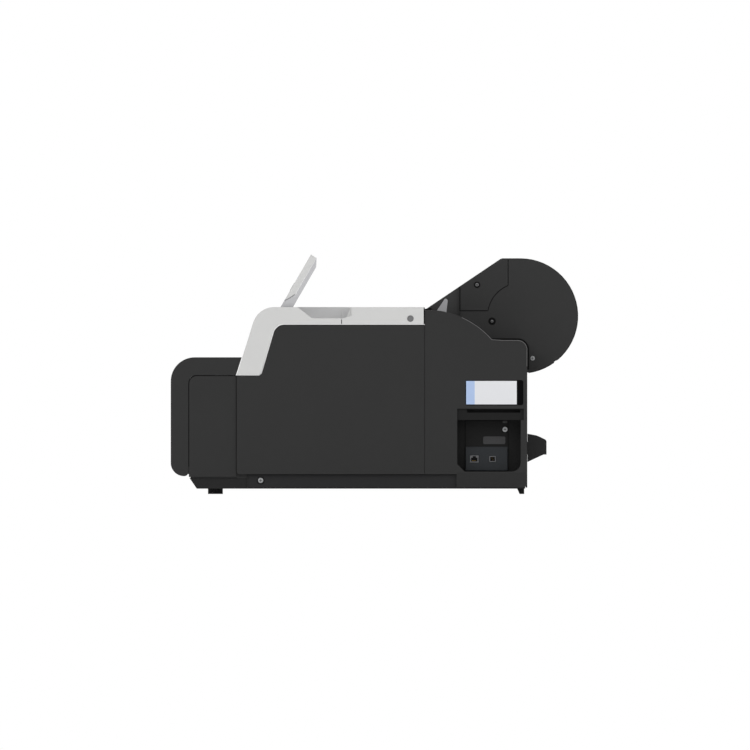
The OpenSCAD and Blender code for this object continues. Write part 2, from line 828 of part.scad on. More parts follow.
module power_supply() {
    z0 = z_base + base_wall + seat_gap;
    y1 = y_base_back - base_wall - mid_gap;
    color(steel) block([-mid_gap - supply.x, y1 - supply.y, z0], [-mid_gap, y1, z0 + supply.z]);
}

spacer_d = 36.2;
spacer_w = 46;
spacer_set_out = 70;
spacer_x = cheek_x + spacer_set_out;
spacer_h = 53.3;
spacer_lift = 50.1;

nose_lift = [14, 41.4];

module wall_spacers() {
    z0 = z_base + spacer_lift;
    nose_z0 = z0 + nose_lift[0];
    nose_z1 = z0 + nose_lift[1];
    nose_run = 5.8;
    bulge = [17.9, 49.9];
    color(black) for (side = [-1, 1])
        translate([side * spacer_x, 0, 0]) across(-spacer_w / 2, spacer_w / 2)
            polygon(rounded([
                [y_rear + seat_gap, z0], [y_rear + spacer_d - nose_run, nose_z0], [y_rear + spacer_d, nose_z0],
                [y_rear + spacer_d, nose_z1], [y_rear + spacer_d - bulge[0], z0 + bulge[1]],
                [y_rear + seat_gap, z0 + spacer_h]
            ], [0, 0, 0, nose_run, 4 * nose_run, 0]));
}

// Roll cheeks and the bed under the roll
cheek_t = 6;
lid_t = 3;
web_t = 3;
lid_clear = 0.5;
cheek_r = cover_r - lid_t / 2;
x_cheek_in = cheek_x - cheek_t;
cheek_run = 66.5;
y_cheek = y_seam + cheek_run;
z_cheek = z_roll - sqrt(pow(cheek_r, 2) - pow(y_rear - y_roll, 2));
lid_tip_at = [6, -3.1];
lid_tip = [y_seam, z_top] + lid_tip_at;
brow_run = 35.5;
lid_brow = [y_roll - brow_run, z_roll + cheek_r];
function lid_line_z(y) = lid_tip.y + (y - lid_tip.x) * (lid_brow.y - lid_tip.y) / (lid_brow.x - lid_tip.x);
cap_patch_t = 3;
patch_r = 62;
patch_run = 23.4;
patch_lift = 9.9;
patch_y1 = y_roll - patch_run;
z_patch = z_roll + patch_lift;
patch_depth = 2.3;
spindle_r = 8;
lid_end = -50;
lid_axis_depth = 5.5;
lid_axis_r = cheek_r - lid_axis_depth;
lid_axis = [y_roll + lid_axis_r * cos(lid_end), z_roll + lid_axis_r * sin(lid_end)];
lid_pin_r = 4;
lid_pin_len = 26;
knuckle_r = 6.5;

module cheek_side(t) {
    r = cheek_r - t;
    difference() {
        union() {
            translate([y_roll, z_roll]) circle(r = r, $fn = 128);
            polygon([
                [y_cheek + t, z_cheek + t], [y_cheek + t, lid_line_z(y_cheek + t) - t * 1.2],
                [lid_brow.x, lid_brow.y - t], [y_roll, z_roll + r], [y_rear - t, z_roll], [y_rear - t, z_cheek + t]
            ]);
        }
        translate([y_roll - 2 * cover_r, z_cheek - cover_r]) square([4 * cover_r, cover_r]);
    }
}

// The service cap let into the outside of each cheek
module patch_side(t) {
    difference() {
        intersection() {
            cheek_side(t / 2);
            polygon([
                [y_cheek + t, z_patch + t], [y_cheek + t, z_roll + 2 * cheek_r], [patch_y1 - t, z_roll + 2 * cheek_r],
                [patch_y1 - t, z_patch + t]
            ]);
        }
        translate([y_roll, z_roll]) circle(r = patch_r + t, $fn = 128);
    }
}

module roll_cheek() {
    color(charcoal) {
        difference() {
            across(x_cheek_in, cheek_x) cheek_side(0);
            across(cheek_x - patch_depth, cheek_x + cut) patch_side(0);
            bar(deep_screw_r, cheek_x - screw_sink, cheek_x + cut, deep_screw.x, deep_screw.y);
            bar(screw_r + seat_gap, cheek_x - screw_sink / 2, cheek_x + cut, bright_screw.x, bright_screw.y);
        }
        bar(lid_pin_r, x_cheek_in - lid_pin_len, x_cheek_in + cut, lid_axis.x, lid_axis.y);
    }
}

module roll_cheek_right() { roll_cheek(); }

module roll_cheek_left() {
    color(charcoal) difference() {
        left() roll_cheek();
        bar(pinion_hole_r, -x_side, 0, pinion_at.x, pinion_at.y);
    }
}

module cheek_caps() {
    color(charcoal) for (side = [0, 1]) mirror([side, 0, 0]) difference() {
        across(cheek_x - patch_depth + seat_gap, cheek_x + seam) patch_side(seam);
        bar(cap_screw_r + seat_gap, cheek_x - cut, cheek_x + side_t, cap_screw.x, cap_screw.y);
    }
}

// Screws seen on the case
roll_centre = [y_roll, z_roll];
cap_screw = roll_centre + cheek_r * [-0.763, 0.549];
cap_screw_r = 4.6;
deep_screw = roll_centre + cheek_r * [-0.5, -0.0925];
deep_screw_r = 7;
bright_screw = roll_centre + cheek_r * [0.212, -0.743];
screw_r = 4.2;
screw_sink = 4;
port_screw_at = [-5.6, 79.5];
port_screw = [board_y0 + board_d, port_z0] + port_screw_at;
driver_w = 1.2;

// A screw head of radius r whose face is at x
module screw_head(r, x, depth, at) {
    difference() {
        bar(r, x - depth, x, at.x, at.y);
        block([x - depth / 3, at.x - r * 0.6, at.y - driver_w / 2], [x + cut, at.x + r * 0.6, at.y + driver_w / 2]);
        block([x - depth / 3, at.x - driver_w / 2, at.y - r * 0.6], [x + cut, at.x + driver_w / 2, at.y + r * 0.6]);
    }
}

module case_screws() {
    color(steel) for (side = [0, 1]) mirror([side, 0, 0]) {
        screw_head(cap_screw_r - seat_gap, cheek_x + seam / 2, cut, cap_screw);
        screw_head(deep_screw_r / 2, cheek_x - seam, screw_sink - 3 * seat_gap, deep_screw);
        screw_head(screw_r, cheek_x + seam, screw_sink / 2 + seam / 2, bright_screw);
        screw_head(base_screw_r, base_x + skirt_t + seat_gap + plug_t, plug_t, base_screw);
        bar(cap_plug_r, x_side - plug_t, x_side - seat_gap, cap_plug.x, cap_plug.y);
    }
    color(steel) screw_head(screw_r + seam, x_port + 3 * port_plate_t, 2 * port_plate_t - 2 * seat_gap, port_screw);
}

bed_t = 3;
bed_inset = 13;
bed_r = cover_r - bed_inset;
bed_clear = 0.3;
z_bed_back = z_cheek;
bed_a0 = -84;
bed_a1 = -150;
bed_lip_at = [20, -27.4];
bed_foot_at = [-8, 150];
bed_lip = [y_seam, z_top] + bed_lip_at;
bed_foot = [y_seam, z_sill] + bed_foot_at;
tail_start = -82;
tail_gap = 4;

module roll_bed() {
    upper = concat(
        [[y_rear - bed_t / 2, z_bed_back]],
        arc([y_roll, z_roll], bed_r, bed_a0, bed_a1),
        [bed_lip, bed_foot]
    );
    tail = arc([y_roll, z_roll], cover_r - bed_t / 2, tail_start, lid_end - tail_gap);
    color(black) {
        across(-x_cheek_in + bed_clear, x_cheek_in - bed_clear) difference() {
            polygon(ribbon(upper, bed_t));
            translate([y_roll - cover_r, z_bed_back - cover_r]) square([cover_r - 2 * bed_t, cover_r - cut]);
        }
        across(-x_cheek_in + bed_clear, x_cheek_in - bed_clear) {
            polygon(ribbon(tail, bed_t));
            polygon([
                [y_rear - bed_t, z_bed_back], [y_rear + seam, z_bed_back], [tail[0].x + bed_t, tail[0].y],
                [tail[0].x, tail[0].y + bed_t], [y_rear - bed_t, z_bed_back + bed_t * 2]
            ]);
        }
    }
}

cradle_t = 11;
cradle_w = 40;
cradle_h = 34;
cradle_lip = 4;

module spindle_cradles() {
    color(black) for (side = [0, 1]) mirror([side, 0, 0]) difference() {
        block([x_cheek_in - seat_gap - cradle_t, y_roll - cradle_w / 2, z_roll - cradle_h], [x_cheek_in - seat_gap, y_roll + cradle_w / 2, z_roll + cradle_lip]);
        bar(spindle_r + run_gap, 0, x_side, y_roll, z_roll);
        block([0, y_roll - spindle_r - run_gap, z_roll], [x_side, y_roll + spindle_r + run_gap, z_roll + cradle_h]);
    }
}

// Roll spindle, paper and drive gears
core_in = 25.4;
core_out = 28.4;
flange_inset = 15;
flange_r = bed_r - flange_inset;
flange_t = 6;
hub_len = 24;
gear_teeth = 64;
pinion_teeth = 24;
gear_share = 0.015789;
gear_module = bed_r * gear_share;
gear_t = 8;
pressure = 20;
gear_pitch_r = gear_teeth * gear_module / 2;
pinion_pitch_r = pinion_teeth * gear_module / 2;
pinion_reach = gear_pitch_r + pinion_pitch_r;
pinion_dir = unit([-20, -62.9]);
pinion_at = [y_roll, z_roll] + pinion_reach * pinion_dir;
pinion_hole_r = 6;
gear_gap = 4;
gear_x = -x_cheek_in + seat_gap + cradle_t + gear_gap;
backlash_share = 0.12;

// An involute point at radius r for base radius b, turned by a0, on the side s of the tooth
function involute(b, r, a0, s) =
    let (t = sqrt(max(0, pow(r / b, 2) - 1)), a = a0 + s * (t * 180 / PI - atan(t)))
    r * [cos(a), sin(a)];

// A spur gear outline with straight roots
function gear_points(teeth, m) =
    let (
        rp = teeth * m / 2,
        rb = rp * cos(pressure),
        ro = rp + m * 0.85,
        rr = rp - m * 1.25,
        ri = max(rr, rb),
        tp = sqrt(pow(rp / rb, 2) - 1),
        half = 90 / teeth * (1 - backlash_share) + tp * 180 / PI - atan(tp),
        steps = 3
    )
    [for (i = [0:teeth - 1])
        let (a = i * 360 / teeth)
        each concat(
            [rr * [cos(a - half * 1.05), sin(a - half * 1.05)]],
            [for (j = [0:steps]) involute(rb, ri + (ro - ri) * j / steps, a - half, 1)],
            [for (j = [steps:-1:0]) involute(rb, ri + (ro - ri) * j / steps, a + half, -1)],
            [rr * [cos(a + half * 1.05), sin(a + half * 1.05)]]
        )];

module spindle() {
    end = x_cheek_in - seat_gap * 2;
    color(black) bar(spindle_r, -end, end, y_roll, z_roll);
    color(mid_grey) for (side = [0, 1]) mirror([side, 0, 0]) {
        bar(flange_r, paper_w / 2 + seat_gap, paper_w / 2 + seat_gap + flange_t, y_roll, z_roll);
        bar(core_in - seat_gap, paper_w / 2 - hub_len, paper_w / 2 + cut, y_roll, z_roll);
        bar(2 * spindle_r, paper_w / 2, paper_w / 2 + hub_len + flange_t, y_roll, z_roll);
    }
    color(mid_grey) translate([0, y_roll, z_roll]) across(gear_x, gear_x + gear_t)
        rotate(atan2(pinion_dir.y, pinion_dir.x)) polygon(gear_points(gear_teeth, gear_module));
}

module paper_core() {
    color([0.72, 0.58, 0.42]) difference() {
        bar(core_out, -paper_w / 2, paper_w / 2, y_roll, z_roll);
        bar(core_in, -paper_w / 2 - cut, paper_w / 2 + cut, y_roll, z_roll);
    }
}

module paper_roll() {
    color([0.95, 0.95, 0.94]) difference() {
        bar(paper_r, -paper_w / 2, paper_w / 2, y_roll, z_roll);
        bar(core_out + run_gap, -paper_w / 2 - cut, paper_w / 2 + cut, y_roll, z_roll);
    }
}

module motor_pinion() {
    color(mid_grey) {
        translate([0, pinion_at.x, pinion_at.y]) across(gear_x, gear_x + gear_t)
            rotate(atan2(pinion_dir.y, pinion_dir.x) + 180 + 180 / pinion_teeth) polygon(gear_points(pinion_teeth, gear_module));
        bar(motor_shaft_r, -cheek_x - skin - shaft_grip, gear_x + cut, pinion_at.x, pinion_at.y);
    }
}

motor_shaft_r = 2.5;
spindle_motor_r = 14;
spindle_motor_len = 38;

module spindle_motor() {
    x1 = -cheek_x - seat_gap * 2 - skin;
    color(steel) difference() {
        bar(spindle_motor_r, x1 - spindle_motor_len, x1, pinion_at.x, pinion_at.y);
        bar(motor_shaft_r + run_gap, x1 - 2 * shaft_grip, x1 + cut, pinion_at.x, pinion_at.y);
    }
}

// Roll cover, hinged low at the back between the cheeks

module roll_cover() {
    x1 = x_cheek_in - lid_clear;
    r = cover_r - lid_t / 2;
    web_foot = z_roll - web_t;
    web_run = 22;
    brow_bend = 10;
    path = concat(
        rounded_path([lid_tip, lid_brow, [y_roll - lid_t, z_roll + r]], [0, brow_bend, 0]),
        arc([y_roll, z_roll], r, 90, lid_end)
    );
    knuckle = 20;
    color(charcoal) difference() {
        union() {
            across(-x1, x1) polygon(ribbon(path, lid_t));
            for (x = [-x1, x1 - web_t])
                across(x, x + web_t) polygon([
                    [lid_tip.x + web_t, lid_line_z(lid_tip.x + web_t)], [y_cheek, lid_line_z(y_cheek)], [y_cheek, web_foot],
                    [lid_tip.x + web_run, web_foot], [lid_tip.x + 2 * web_t, lid_tip.y - web_t / 2]
                ]);
            for (x = [-x1 + web_t, x1 - web_t - knuckle]) bar(knuckle_r, x, x + knuckle, lid_axis.x, lid_axis.y);
        }
        bar(lid_pin_r + run_gap, -x1 - cut, x1 + cut, lid_axis.x, lid_axis.y);
    }
}

lever_hub_r = 7;
lever_arm = [[-14, 20], [-8, -3], [6, -3], [5, 20], [7.6, 40.2], [6, 43.5], [3, 44.2], [1.4, 43.2]];

module release_lever() {
    color(mid_grey) across(lever_x, lever_x + lever_w) {
        difference() {
            union() {
                translate(lever_pivot) circle(r = lever_hub_r);
                translate(lever_pivot) polygon(lever_arm);
            }
            translate(lever_pivot) circle(r = pin_r + run_gap);
        }
    }
}

// Chassis inside
plate_t = 3;
x_frame = x_skin - panel_rib_d - seat_gap - 1.5 * plate_t;
plate_front_gap = 15;
plate_rear_gap = 6;
y_frame0 = y_bay_back + plate_front_gap;
y_frame1 = y_seam - plate_rear_gap;
deck_gap = 2;
z_deck = z_cassette_top + deck_gap;
deck_t = 2.8;
feed_at = [-46, 24];
feed_axis = [y_seam, z_deck + deck_t] + feed_at;
rail_at = [-54, 163];
rail_y = y_seam + rail_at.x;
rail_z = z_sill + rail_at.y;
rail_depth = 30;
rail_h = 60;
carriage_back_gap = 25;
y_carriage = y_bay_back + carriage_back_gap;
feed_proud = 0.5;
z_platen = feed_axis.y + feed_r - feed_proud;
belt_gap = 11;
belt_y = rail_y - belt_gap;
belt_w = 6;
belt_t = 1.2;
pulley_in = 24;
pulley_x = x_frame - pulley_in;
pulley_over = 1;
pulley_len = belt_w + 2 * pulley_over;
pulley_rim = 3;
pulley_rim_t = 0.8;
shaft_grip = 9;
pulley_z = rail_z + rail_h / 2;

module frame_plate() {
    hole_r = 14;
    holes = [40, 75];
    color(steel) difference() {
        block([x_frame - plate_t, y_frame0, z_sill + seam], [x_frame, y_frame1, z_band - 2 * plate_t]);
        for (z = holes) bar(hole_r, x_mid, x_side, (y_frame0 + y_frame1) / 2, z_sill + z);
    }
}

module frame_plate_right() { frame_plate(); }
module frame_plate_left() { left() frame_plate(); }

feed_hole = [60, 24];

module mid_deck() {
    x1 = x_frame - plate_t - seat_gap;
    color(steel) difference() {
        block([-x1, y_frame0, z_deck], [x1, y_frame1, z_deck + deck_t]);
        block([-feed_hole.x, feed_axis.x - feed_hole.y, z_deck - cut], [feed_hole.x, feed_axis.x + feed_hole.y, z_deck + deck_t + cut]);
    }
}

module carriage_rail() {
    x1 = x_frame - plate_t - seat_gap;
    color(steel) {
        difference() {
            union() {
                block([-x1, rail_y, rail_z], [x1, rail_y + plate_t, rail_z + rail_h]);
                for (z = [rail_z, rail_z + rail_h - plate_t])
                    block([-x1, rail_y, z], [x1, rail_y + rail_depth, z + plate_t]);
            }
            on_belt(pulley_x, rail_y - cut) cylinder(r = 2 * motor_shaft_r, h = plate_t + 2 * cut);
        }
        on_belt(-pulley_x, belt_y - pulley_over) cylinder(r = motor_shaft_r, h = rail_y - belt_y + pulley_over + cut);
    }
}

module carriage_motor() {
    motor_r = 20;
    motor_len = 40;
    color(black) on_belt(pulley_x, rail_y + plate_t + seat_gap) difference() {
        cylinder(r = motor_r, h = motor_len);
        translate([0, 0, -cut]) cylinder(r = motor_shaft_r + run_gap, h = motor_len / 2);
    }
}

// A pulley whose axle lies along Y, from its front face back
module pulley() {
    cylinder(r = pulley_r, h = pulley_len);
    cylinder(r = pulley_r + pulley_rim, h = pulley_rim_t);
}

module on_belt(x, y) {
    translate([x, y, pulley_z]) rotate([-90, 0, 0]) children();
}

module drive_pulley() {
    color(mid_grey) on_belt(pulley_x, belt_y - pulley_over) {
        pulley();
        cylinder(r = motor_shaft_r, h = rail_y + plate_t + seat_gap + shaft_grip - belt_y);
    }
}

module idler_pulley() {
    color(mid_grey) on_belt(-pulley_x, belt_y - pulley_over) difference() {
        pulley();
        translate([0, 0, -cut]) cylinder(r = motor_shaft_r + run_gap, h = pulley_len + 2 * cut);
    }
}

module drive_belt() {
    loop_in = pulley_r + seat_gap / 2;
    color(rubber_black) on_belt(0, belt_y) linear_extrude(belt_w) difference() {
        union() {
            for (side = [-1, 1]) translate([side * pulley_x, 0]) circle(r = loop_in + belt_t);
            translate([-pulley_x, -loop_in - belt_t]) square([2 * pulley_x, 2 * (loop_in + belt_t)]);
        }
        for (side = [-1, 1]) translate([side * pulley_x, 0]) circle(r = loop_in);
        translate([-pulley_x, -loop_in]) square([2 * pulley_x, 2 * loop_in]);
    }
}

carriage_side_gap = 75;
carriage_x1 = x_bay - carriage_side_gap;
carriage_w = bay_w * carriage_share;
carriage_x0 = carriage_x1 - carriage_w;

module carriage() {
    x1 = carriage_x1;
    x0 = carriage_x0;
    y1 = belt_y - 2 * slide_gap;
    lift = 8;
    headroom = 28;
    z0 = z_platen + lift;
    z1 = z_band - headroom;
    hook_t = 5;
    hook_h = 7;
    guide_h = 12;
    clamp_h = 4;
    hook_z = rail_z + rail_h;
    head_t = 6;
    head_in = 20;
    belt_z = pulley_z - pulley_r - seat_gap / 2 - belt_t;
    color(black) {
        block([x0, y_carriage, z0], [x1, y1, z1]);
        block([x0 + head_in / 2, y1 - cut, hook_z + seam], [x1 - head_in / 2, rail_y + rail_depth + hook_t, hook_z + seam + hook_h]);
        block([x0 + head_in / 2, rail_y + rail_depth + seam, hook_z - hook_h], [x1 - head_in / 2, rail_y + rail_depth + hook_t, hook_z + seam + cut]);
        block([x0 + head_in, y1 - cut, rail_z + skin], [x1 - head_in, rail_y - seam, rail_z + guide_h]);
        block([x0 + 2 * head_in, y1 - cut, belt_z - clamp_h], [x1 - 2 * head_in, belt_y + belt_w, belt_z - 2 * seat_gap]);
    }
    color(steel) block([x0 + head_in, y_carriage + head_in / 2, z0 - head_t], [x1 - head_in, y1 - 2 * head_in, z0 + cut]);
}

module capping_station() {
    cap_t = 6;
    z1 = z_platen - cap_t;
    y0 = y_carriage + cap_t;
    y1 = belt_y - cap_t;
    in_x = (carriage_x1 - carriage_x0) / 5;
    in_y = (y1 - y0) / 8;
    color(black) block([carriage_x0, y0, z_deck + deck_t + seat_gap], [carriage_x1, y1, z1]);
    color(rubber_black) block([carriage_x0 + in_x, y0 + in_y, z1 - cut], [carriage_x1 - in_x, y1 - 3 * in_y, z1 + cap_t + seam]);
}

platen_over = 21;
platen_front_gap = 6;

module platen() {
    x1 = paper_w / 2 + platen_over;
    rib_pitch = 18;
    rib_w = 2;
    rib_h = 3;
    y0 = y_frame0 + platen_front_gap;
    y1 = feed_axis.x - feed_r - rib_h;
    color(black) {
        block([-x1, y0, z_deck + deck_t + seat_gap], [x1, y1, z_platen - rib_h]);
        for (x = [-x1 + rib_pitch / 2:rib_pitch:x1 - rib_w]) block([x, y0, z_platen - rib_h - cut], [x + rib_w, y1, z_platen]);
    }
}

bracket_gap = 3;
bracket_x = paper_w / 2 + platen_over + bracket_gap;
bracket_back = 20;
bracket_front = 15;
bracket_t = 8;
feed_shaft_r = 4;
pinch_axis_z = feed_axis.y + feed_r + pinch_r + seat_gap;
pinch_shaft_r = 2;

module roller_brackets() {
    z0 = z_deck + deck_t + seat_gap;
    color(steel) for (side = [0, 1]) mirror([side, 0, 0]) difference() {
        union() {
            block([bracket_x, y_frame0 + platen_front_gap, z0], [bracket_x + bracket_t, feed_axis.x + bracket_back, z_platen - bracket_gap]);
            block([bracket_x, feed_axis.x - bracket_front, z0], [bracket_x + bracket_t, feed_axis.x + bracket_back, pinch_axis_z + 3 * pinch_shaft_r]);
        }
        bar(feed_shaft_r + run_gap, 0, x_side, feed_axis.x, feed_axis.y);
        bar(pinch_shaft_r + run_gap, 0, x_side, feed_axis.x, pinch_axis_z);
    }
}

module feed_roller() {
    end = bracket_x + bracket_t + bracket_gap;
    roller_x = bracket_x - bracket_gap - slide_gap;
    color([0.30, 0.31, 0.32]) {
        bar(feed_r, -roller_x, roller_x, feed_axis.x, feed_axis.y);
        bar(feed_shaft_r, -end, end, feed_axis.x, feed_axis.y);
    }
}

module pinch_rollers() {
    end = bracket_x + bracket_t;
    roller_w = 24;
    pitch = (paper_w - roller_w) / (pinch_count - 1);
    color(steel) bar(pinch_shaft_r, -end, end, feed_axis.x, pinch_axis_z);
    color(rubber_black) for (i = [0:pinch_count - 1])
        bar(pinch_r, -paper_w / 2 + i * pitch, -paper_w / 2 + i * pitch + roller_w, feed_axis.x, pinch_axis_z);
}

// Cover over the print area, with a window
cover_x = x_mid - slide_gap;
window_side = 60;
window_x = x_mid - window_side;
window_front = 95;
window_back = 55;
window_y0 = y_body + window_front;
window_y1 = y_seam - window_back;
window_t = 2;
window_lip = 6;
cover_set_in = 10;
cover_back = y_seam - cover_set_in;

module printer_cover() {
    web_h = 20;
    color(light_grey) difference() {
        union() {
            across(-cover_x, cover_x) slope_skin(cover_back);
            for (x = [-cover_x, cover_x - skin]) across(x, x + skin) difference() {
                slope_body(0, cover_back, z_slope);
                slope_body(web_h, cover_back + cut, z_slope - cut);
            }
            block([-cover_x, cover_back - skin, z_top - cover_set_in], [cover_x, cover_back, z_top]);
            for (x = [-cover_x - skin, cover_x - skin]) bar(cover_pin_r, x, x + 2 * skin, cover_hinge.x, cover_hinge.y);
        }
        block([-window_x, window_y0, z_top - 2 * skin], [window_x, window_y1, z_top + cut]);
        block([-window_x - window_lip, window_y0 - window_lip, z_top - window_t], [window_x + window_lip, window_y1 + window_lip, z_top + cut]);
    }
}

module cover_window() {
    color([0.10, 0.11, 0.12, 0.7])
        block([-window_x - window_lip + seat_gap, window_y0 - window_lip + seat_gap, z_top - window_t],
              [window_x + window_lip - seat_gap, window_y1 + window_lip - seat_gap, z_top - seat_gap]);
}

// Control panel, drawn flat with its hinge line at the origin, then tilted
panel_face = 13.2;
bezel_foot = 23;
bezel_slant = 21;
bezel_z = 1;
panel_chamfer = 15.7;
panel_heel = 3;

module tilted() {
    translate([0, hinge.x, hinge.y]) rotate([panel_tilt, 0, 0]) children();
}

module panel_bezel() {
    color(light_grey) tilted() difference() {
        across(panel_x0, panel_x1)
            polygon([[bezel_foot, panel_face], [panel_len, panel_face], [panel_len, bezel_z], [bezel_foot + bezel_slant, bezel_z]]);
        block([screen_x0 - seat_gap, screen_y0 - seat_gap, panel_face - screen_t - seat_gap], [screen_x1 + seat_gap, screen_y1 + seat_gap, panel_face + cut]);
        translate([button_x, button_y, bezel_z - cut]) cylinder(r = button_r + seat_gap, h = panel_t + cut);
    }
}

module panel_back() {
    z0 = panel_face - panel_t;
    color(mid_grey) tilted() {
        across(panel_x0, panel_x1)
            polygon([
                [-panel_heel, z0], [panel_len - panel_chamfer, z0], [panel_len, bezel_z - seat_gap],
                [bezel_foot + bezel_slant, bezel_z - seat_gap], [bezel_foot - seat_gap, panel_face], [-panel_heel, panel_face]
            ]);
        bar(hinge_pin_r, well_x0 - well_wall, well_x1 + well_wall, 0, 0);
    }
}

screen_edge = [22, 42];
screen_rim = [12, 10];
screen_x0 = panel_x0 + screen_edge.x;
screen_x1 = panel_x1 - screen_edge.y;
screen_y0 = bezel_foot + screen_rim.x;
screen_y1 = panel_len - screen_rim.y;
screen_t = 4;

module touch_screen() {
    color([0.03, 0.03, 0.035]) tilted() block([screen_x0, screen_y0, panel_face - screen_t], [screen_x1, screen_y1, panel_face - seat_gap]);
}

button_r = 8;
button_in = [21, 31];
button_x = panel_x1 - button_in.x;
button_y = bezel_foot + button_in.y;
button_travel = 1.2;

module power_button() {
    color(mid_grey) tilted() translate([button_x, button_y, bezel_z + button_travel]) cylinder(r = button_r, h = panel_face + seam - bezel_z - button_travel);
}

// Sheet cassette and output tray
cassette_set_in = 3;
tray_set_in = 6;

module sheet_cassette() {
    wall = 2.5;
    y0 = y_front + cassette_set_in;
    front_t = 14;
    front_r = 16;
    grip = [130, 26, 10];
    color(charcoal) difference() {
        across(-cassette_x, cassette_x) polygon(rounded([
            [y0, z_cassette], [y0 + cassette_d, z_cassette], [y0 + cassette_d, z_cassette_top], [y0, z_cassette_top]
        ], [front_r, 0, 0, 0]));
        block([-cassette_x + wall, y0 + front_t, z_cassette + wall], [cassette_x - wall, y0 + cassette_d - wall, z_cassette_top + cut]);
        block([-grip.x / 2, y0 - cut, z_cassette + grip.y], [grip.x / 2, y0 + grip.z, z_cassette + 2 * grip.y]);
    }
}

tray_x = x_mid - seat_gap;
tray_t = 2;
tray_edge = 49.7;
ext_x = tray_x - tray_edge;
ext_t = 3;
ext_len = 112;
z_tray = z_cassette_top + deck_gap;

module output_tray() {
    y1 = y_frame - seat_gap;
    y0 = y_front + tray_set_in;
    z1 = z_tray + tray_t + seat_gap;
    color(black) {
        block([-tray_x, y0, z_tray], [tray_x, y1, z_tray + tray_t]);
        block([-tray_x, y0, z1 + ext_t + seat_gap], [tray_x, y1, z1 + ext_t + seat_gap + tray_t]);
        for (x = [-tray_x, ext_x + seat_gap]) block([x, y0, z_tray], [x + tray_x - ext_x - seat_gap, y1, z1 + ext_t + seat_gap + tray_t]);
    }
}

module tray_extension() {
    z0 = z_tray + tray_t + seat_gap;
    y0 = y_front + cassette_set_in;
    lip = 3;
    color(charcoal) {
        block([-ext_x, y0, z0], [ext_x, y0 + ext_len, z0 + ext_t]);
        block([-ext_x, y0, z_tray], [ext_x, y0 + lip - seat_gap, z0 + ext_t + tray_t]);
    }
}

base_pan();
feet();
side_panel_right();
side_panel_left();
bay_housing_right();
bay_housing_left();
fascia_right();
fascia_left();
top_cap_right();
top_cap_left();
front_frame();
rear_housing_right();
rear_housing_left();
rear_cover();
roll_bed();
roll_cheek_right();
roll_cheek_left();
cheek_caps();
case_screws();
port_panel();
network_socket();
usb_socket();
power_inlet();
wall_spacers();
frame_plate_right();
frame_plate_left();
mid_deck();
carriage_rail();
carriage_motor();
drive_belt();
platen();
roller_brackets();
capping_station();
ink_cartridges();
main_board();
power_supply();
spindle_cradles();
spindle_motor();
output_tray();
roll_cover();
spindle();
paper_core();
paper_roll();
motor_pinion();
printer_cover();
cover_window();
panel_bezel();
panel_back();
touch_screen();
power_button();
bay_door_right();
bay_door_left();
sheet_cassette();
tray_extension();
carriage();
feed_roller();
pinch_rollers();
drive_pulley();
idler_pulley();
release_lever();
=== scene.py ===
# %% [markdown]
# # Dressing a desktop wide format plotter
# A roll-fed plotter stands on its four feet. Its solids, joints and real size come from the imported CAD
# frame, and this lesson gives them their surfaces, light and small parts. Front is -Y, up is +Z, and
# lengths are metres in Blender and millimetres in the tables of sizes below.

import math

import bmesh
import bpy
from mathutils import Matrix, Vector


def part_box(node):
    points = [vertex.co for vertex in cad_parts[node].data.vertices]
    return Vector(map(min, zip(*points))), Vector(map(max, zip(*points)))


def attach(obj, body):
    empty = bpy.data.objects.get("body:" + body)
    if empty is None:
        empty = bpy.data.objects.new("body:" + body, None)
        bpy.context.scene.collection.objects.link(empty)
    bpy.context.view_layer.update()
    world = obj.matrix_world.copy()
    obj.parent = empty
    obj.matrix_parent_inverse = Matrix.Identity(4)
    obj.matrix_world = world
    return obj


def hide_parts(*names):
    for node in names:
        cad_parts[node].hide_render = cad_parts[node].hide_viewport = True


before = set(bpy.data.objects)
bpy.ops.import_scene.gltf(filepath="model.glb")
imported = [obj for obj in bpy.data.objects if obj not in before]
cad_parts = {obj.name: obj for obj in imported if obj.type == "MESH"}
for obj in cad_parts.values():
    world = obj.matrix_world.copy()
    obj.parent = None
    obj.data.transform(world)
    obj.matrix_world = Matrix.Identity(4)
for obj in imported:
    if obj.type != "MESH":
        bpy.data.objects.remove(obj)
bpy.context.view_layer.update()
MM = 0.001


def box_mm(node):
    """The lowest and highest corners of a CAD node, in millimetres."""
    return tuple(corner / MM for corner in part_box(node))


# %% [markdown]
# ## Camera
# The picture to match was taken square to the right side from far away, and no edge in it converges. An
# orthographic camera gives exactly that: its scale is the width of the view in metres.

# %% Camera
VIEW_WIDTH = 1.410
VIEW_FROM = Vector((4.0, 0.0010, 0.2237))
FAR_CLIP = 100

camera_data = bpy.data.cameras.new("camera")
camera_data.type = "ORTHO"
camera_data.ortho_scale = VIEW_WIDTH
camera_data.clip_end = FAR_CLIP
camera = bpy.data.objects.new("camera", camera_data)
camera.location = VIEW_FROM
camera.rotation_euler = (math.radians(90), 0, math.radians(90))
bpy.context.scene.collection.objects.link(camera)
bpy.context.scene.camera = camera
print("the view is", VIEW_WIDTH, "m wide")

# %% [markdown]
# ## Shader sums in Python
# A material is a graph of nodes. Wiring each sum by hand hides what it means, so `Wire` stands for one
# socket and lets Python's own operators add the Math nodes. `Board.add` makes every other node in one
# line.

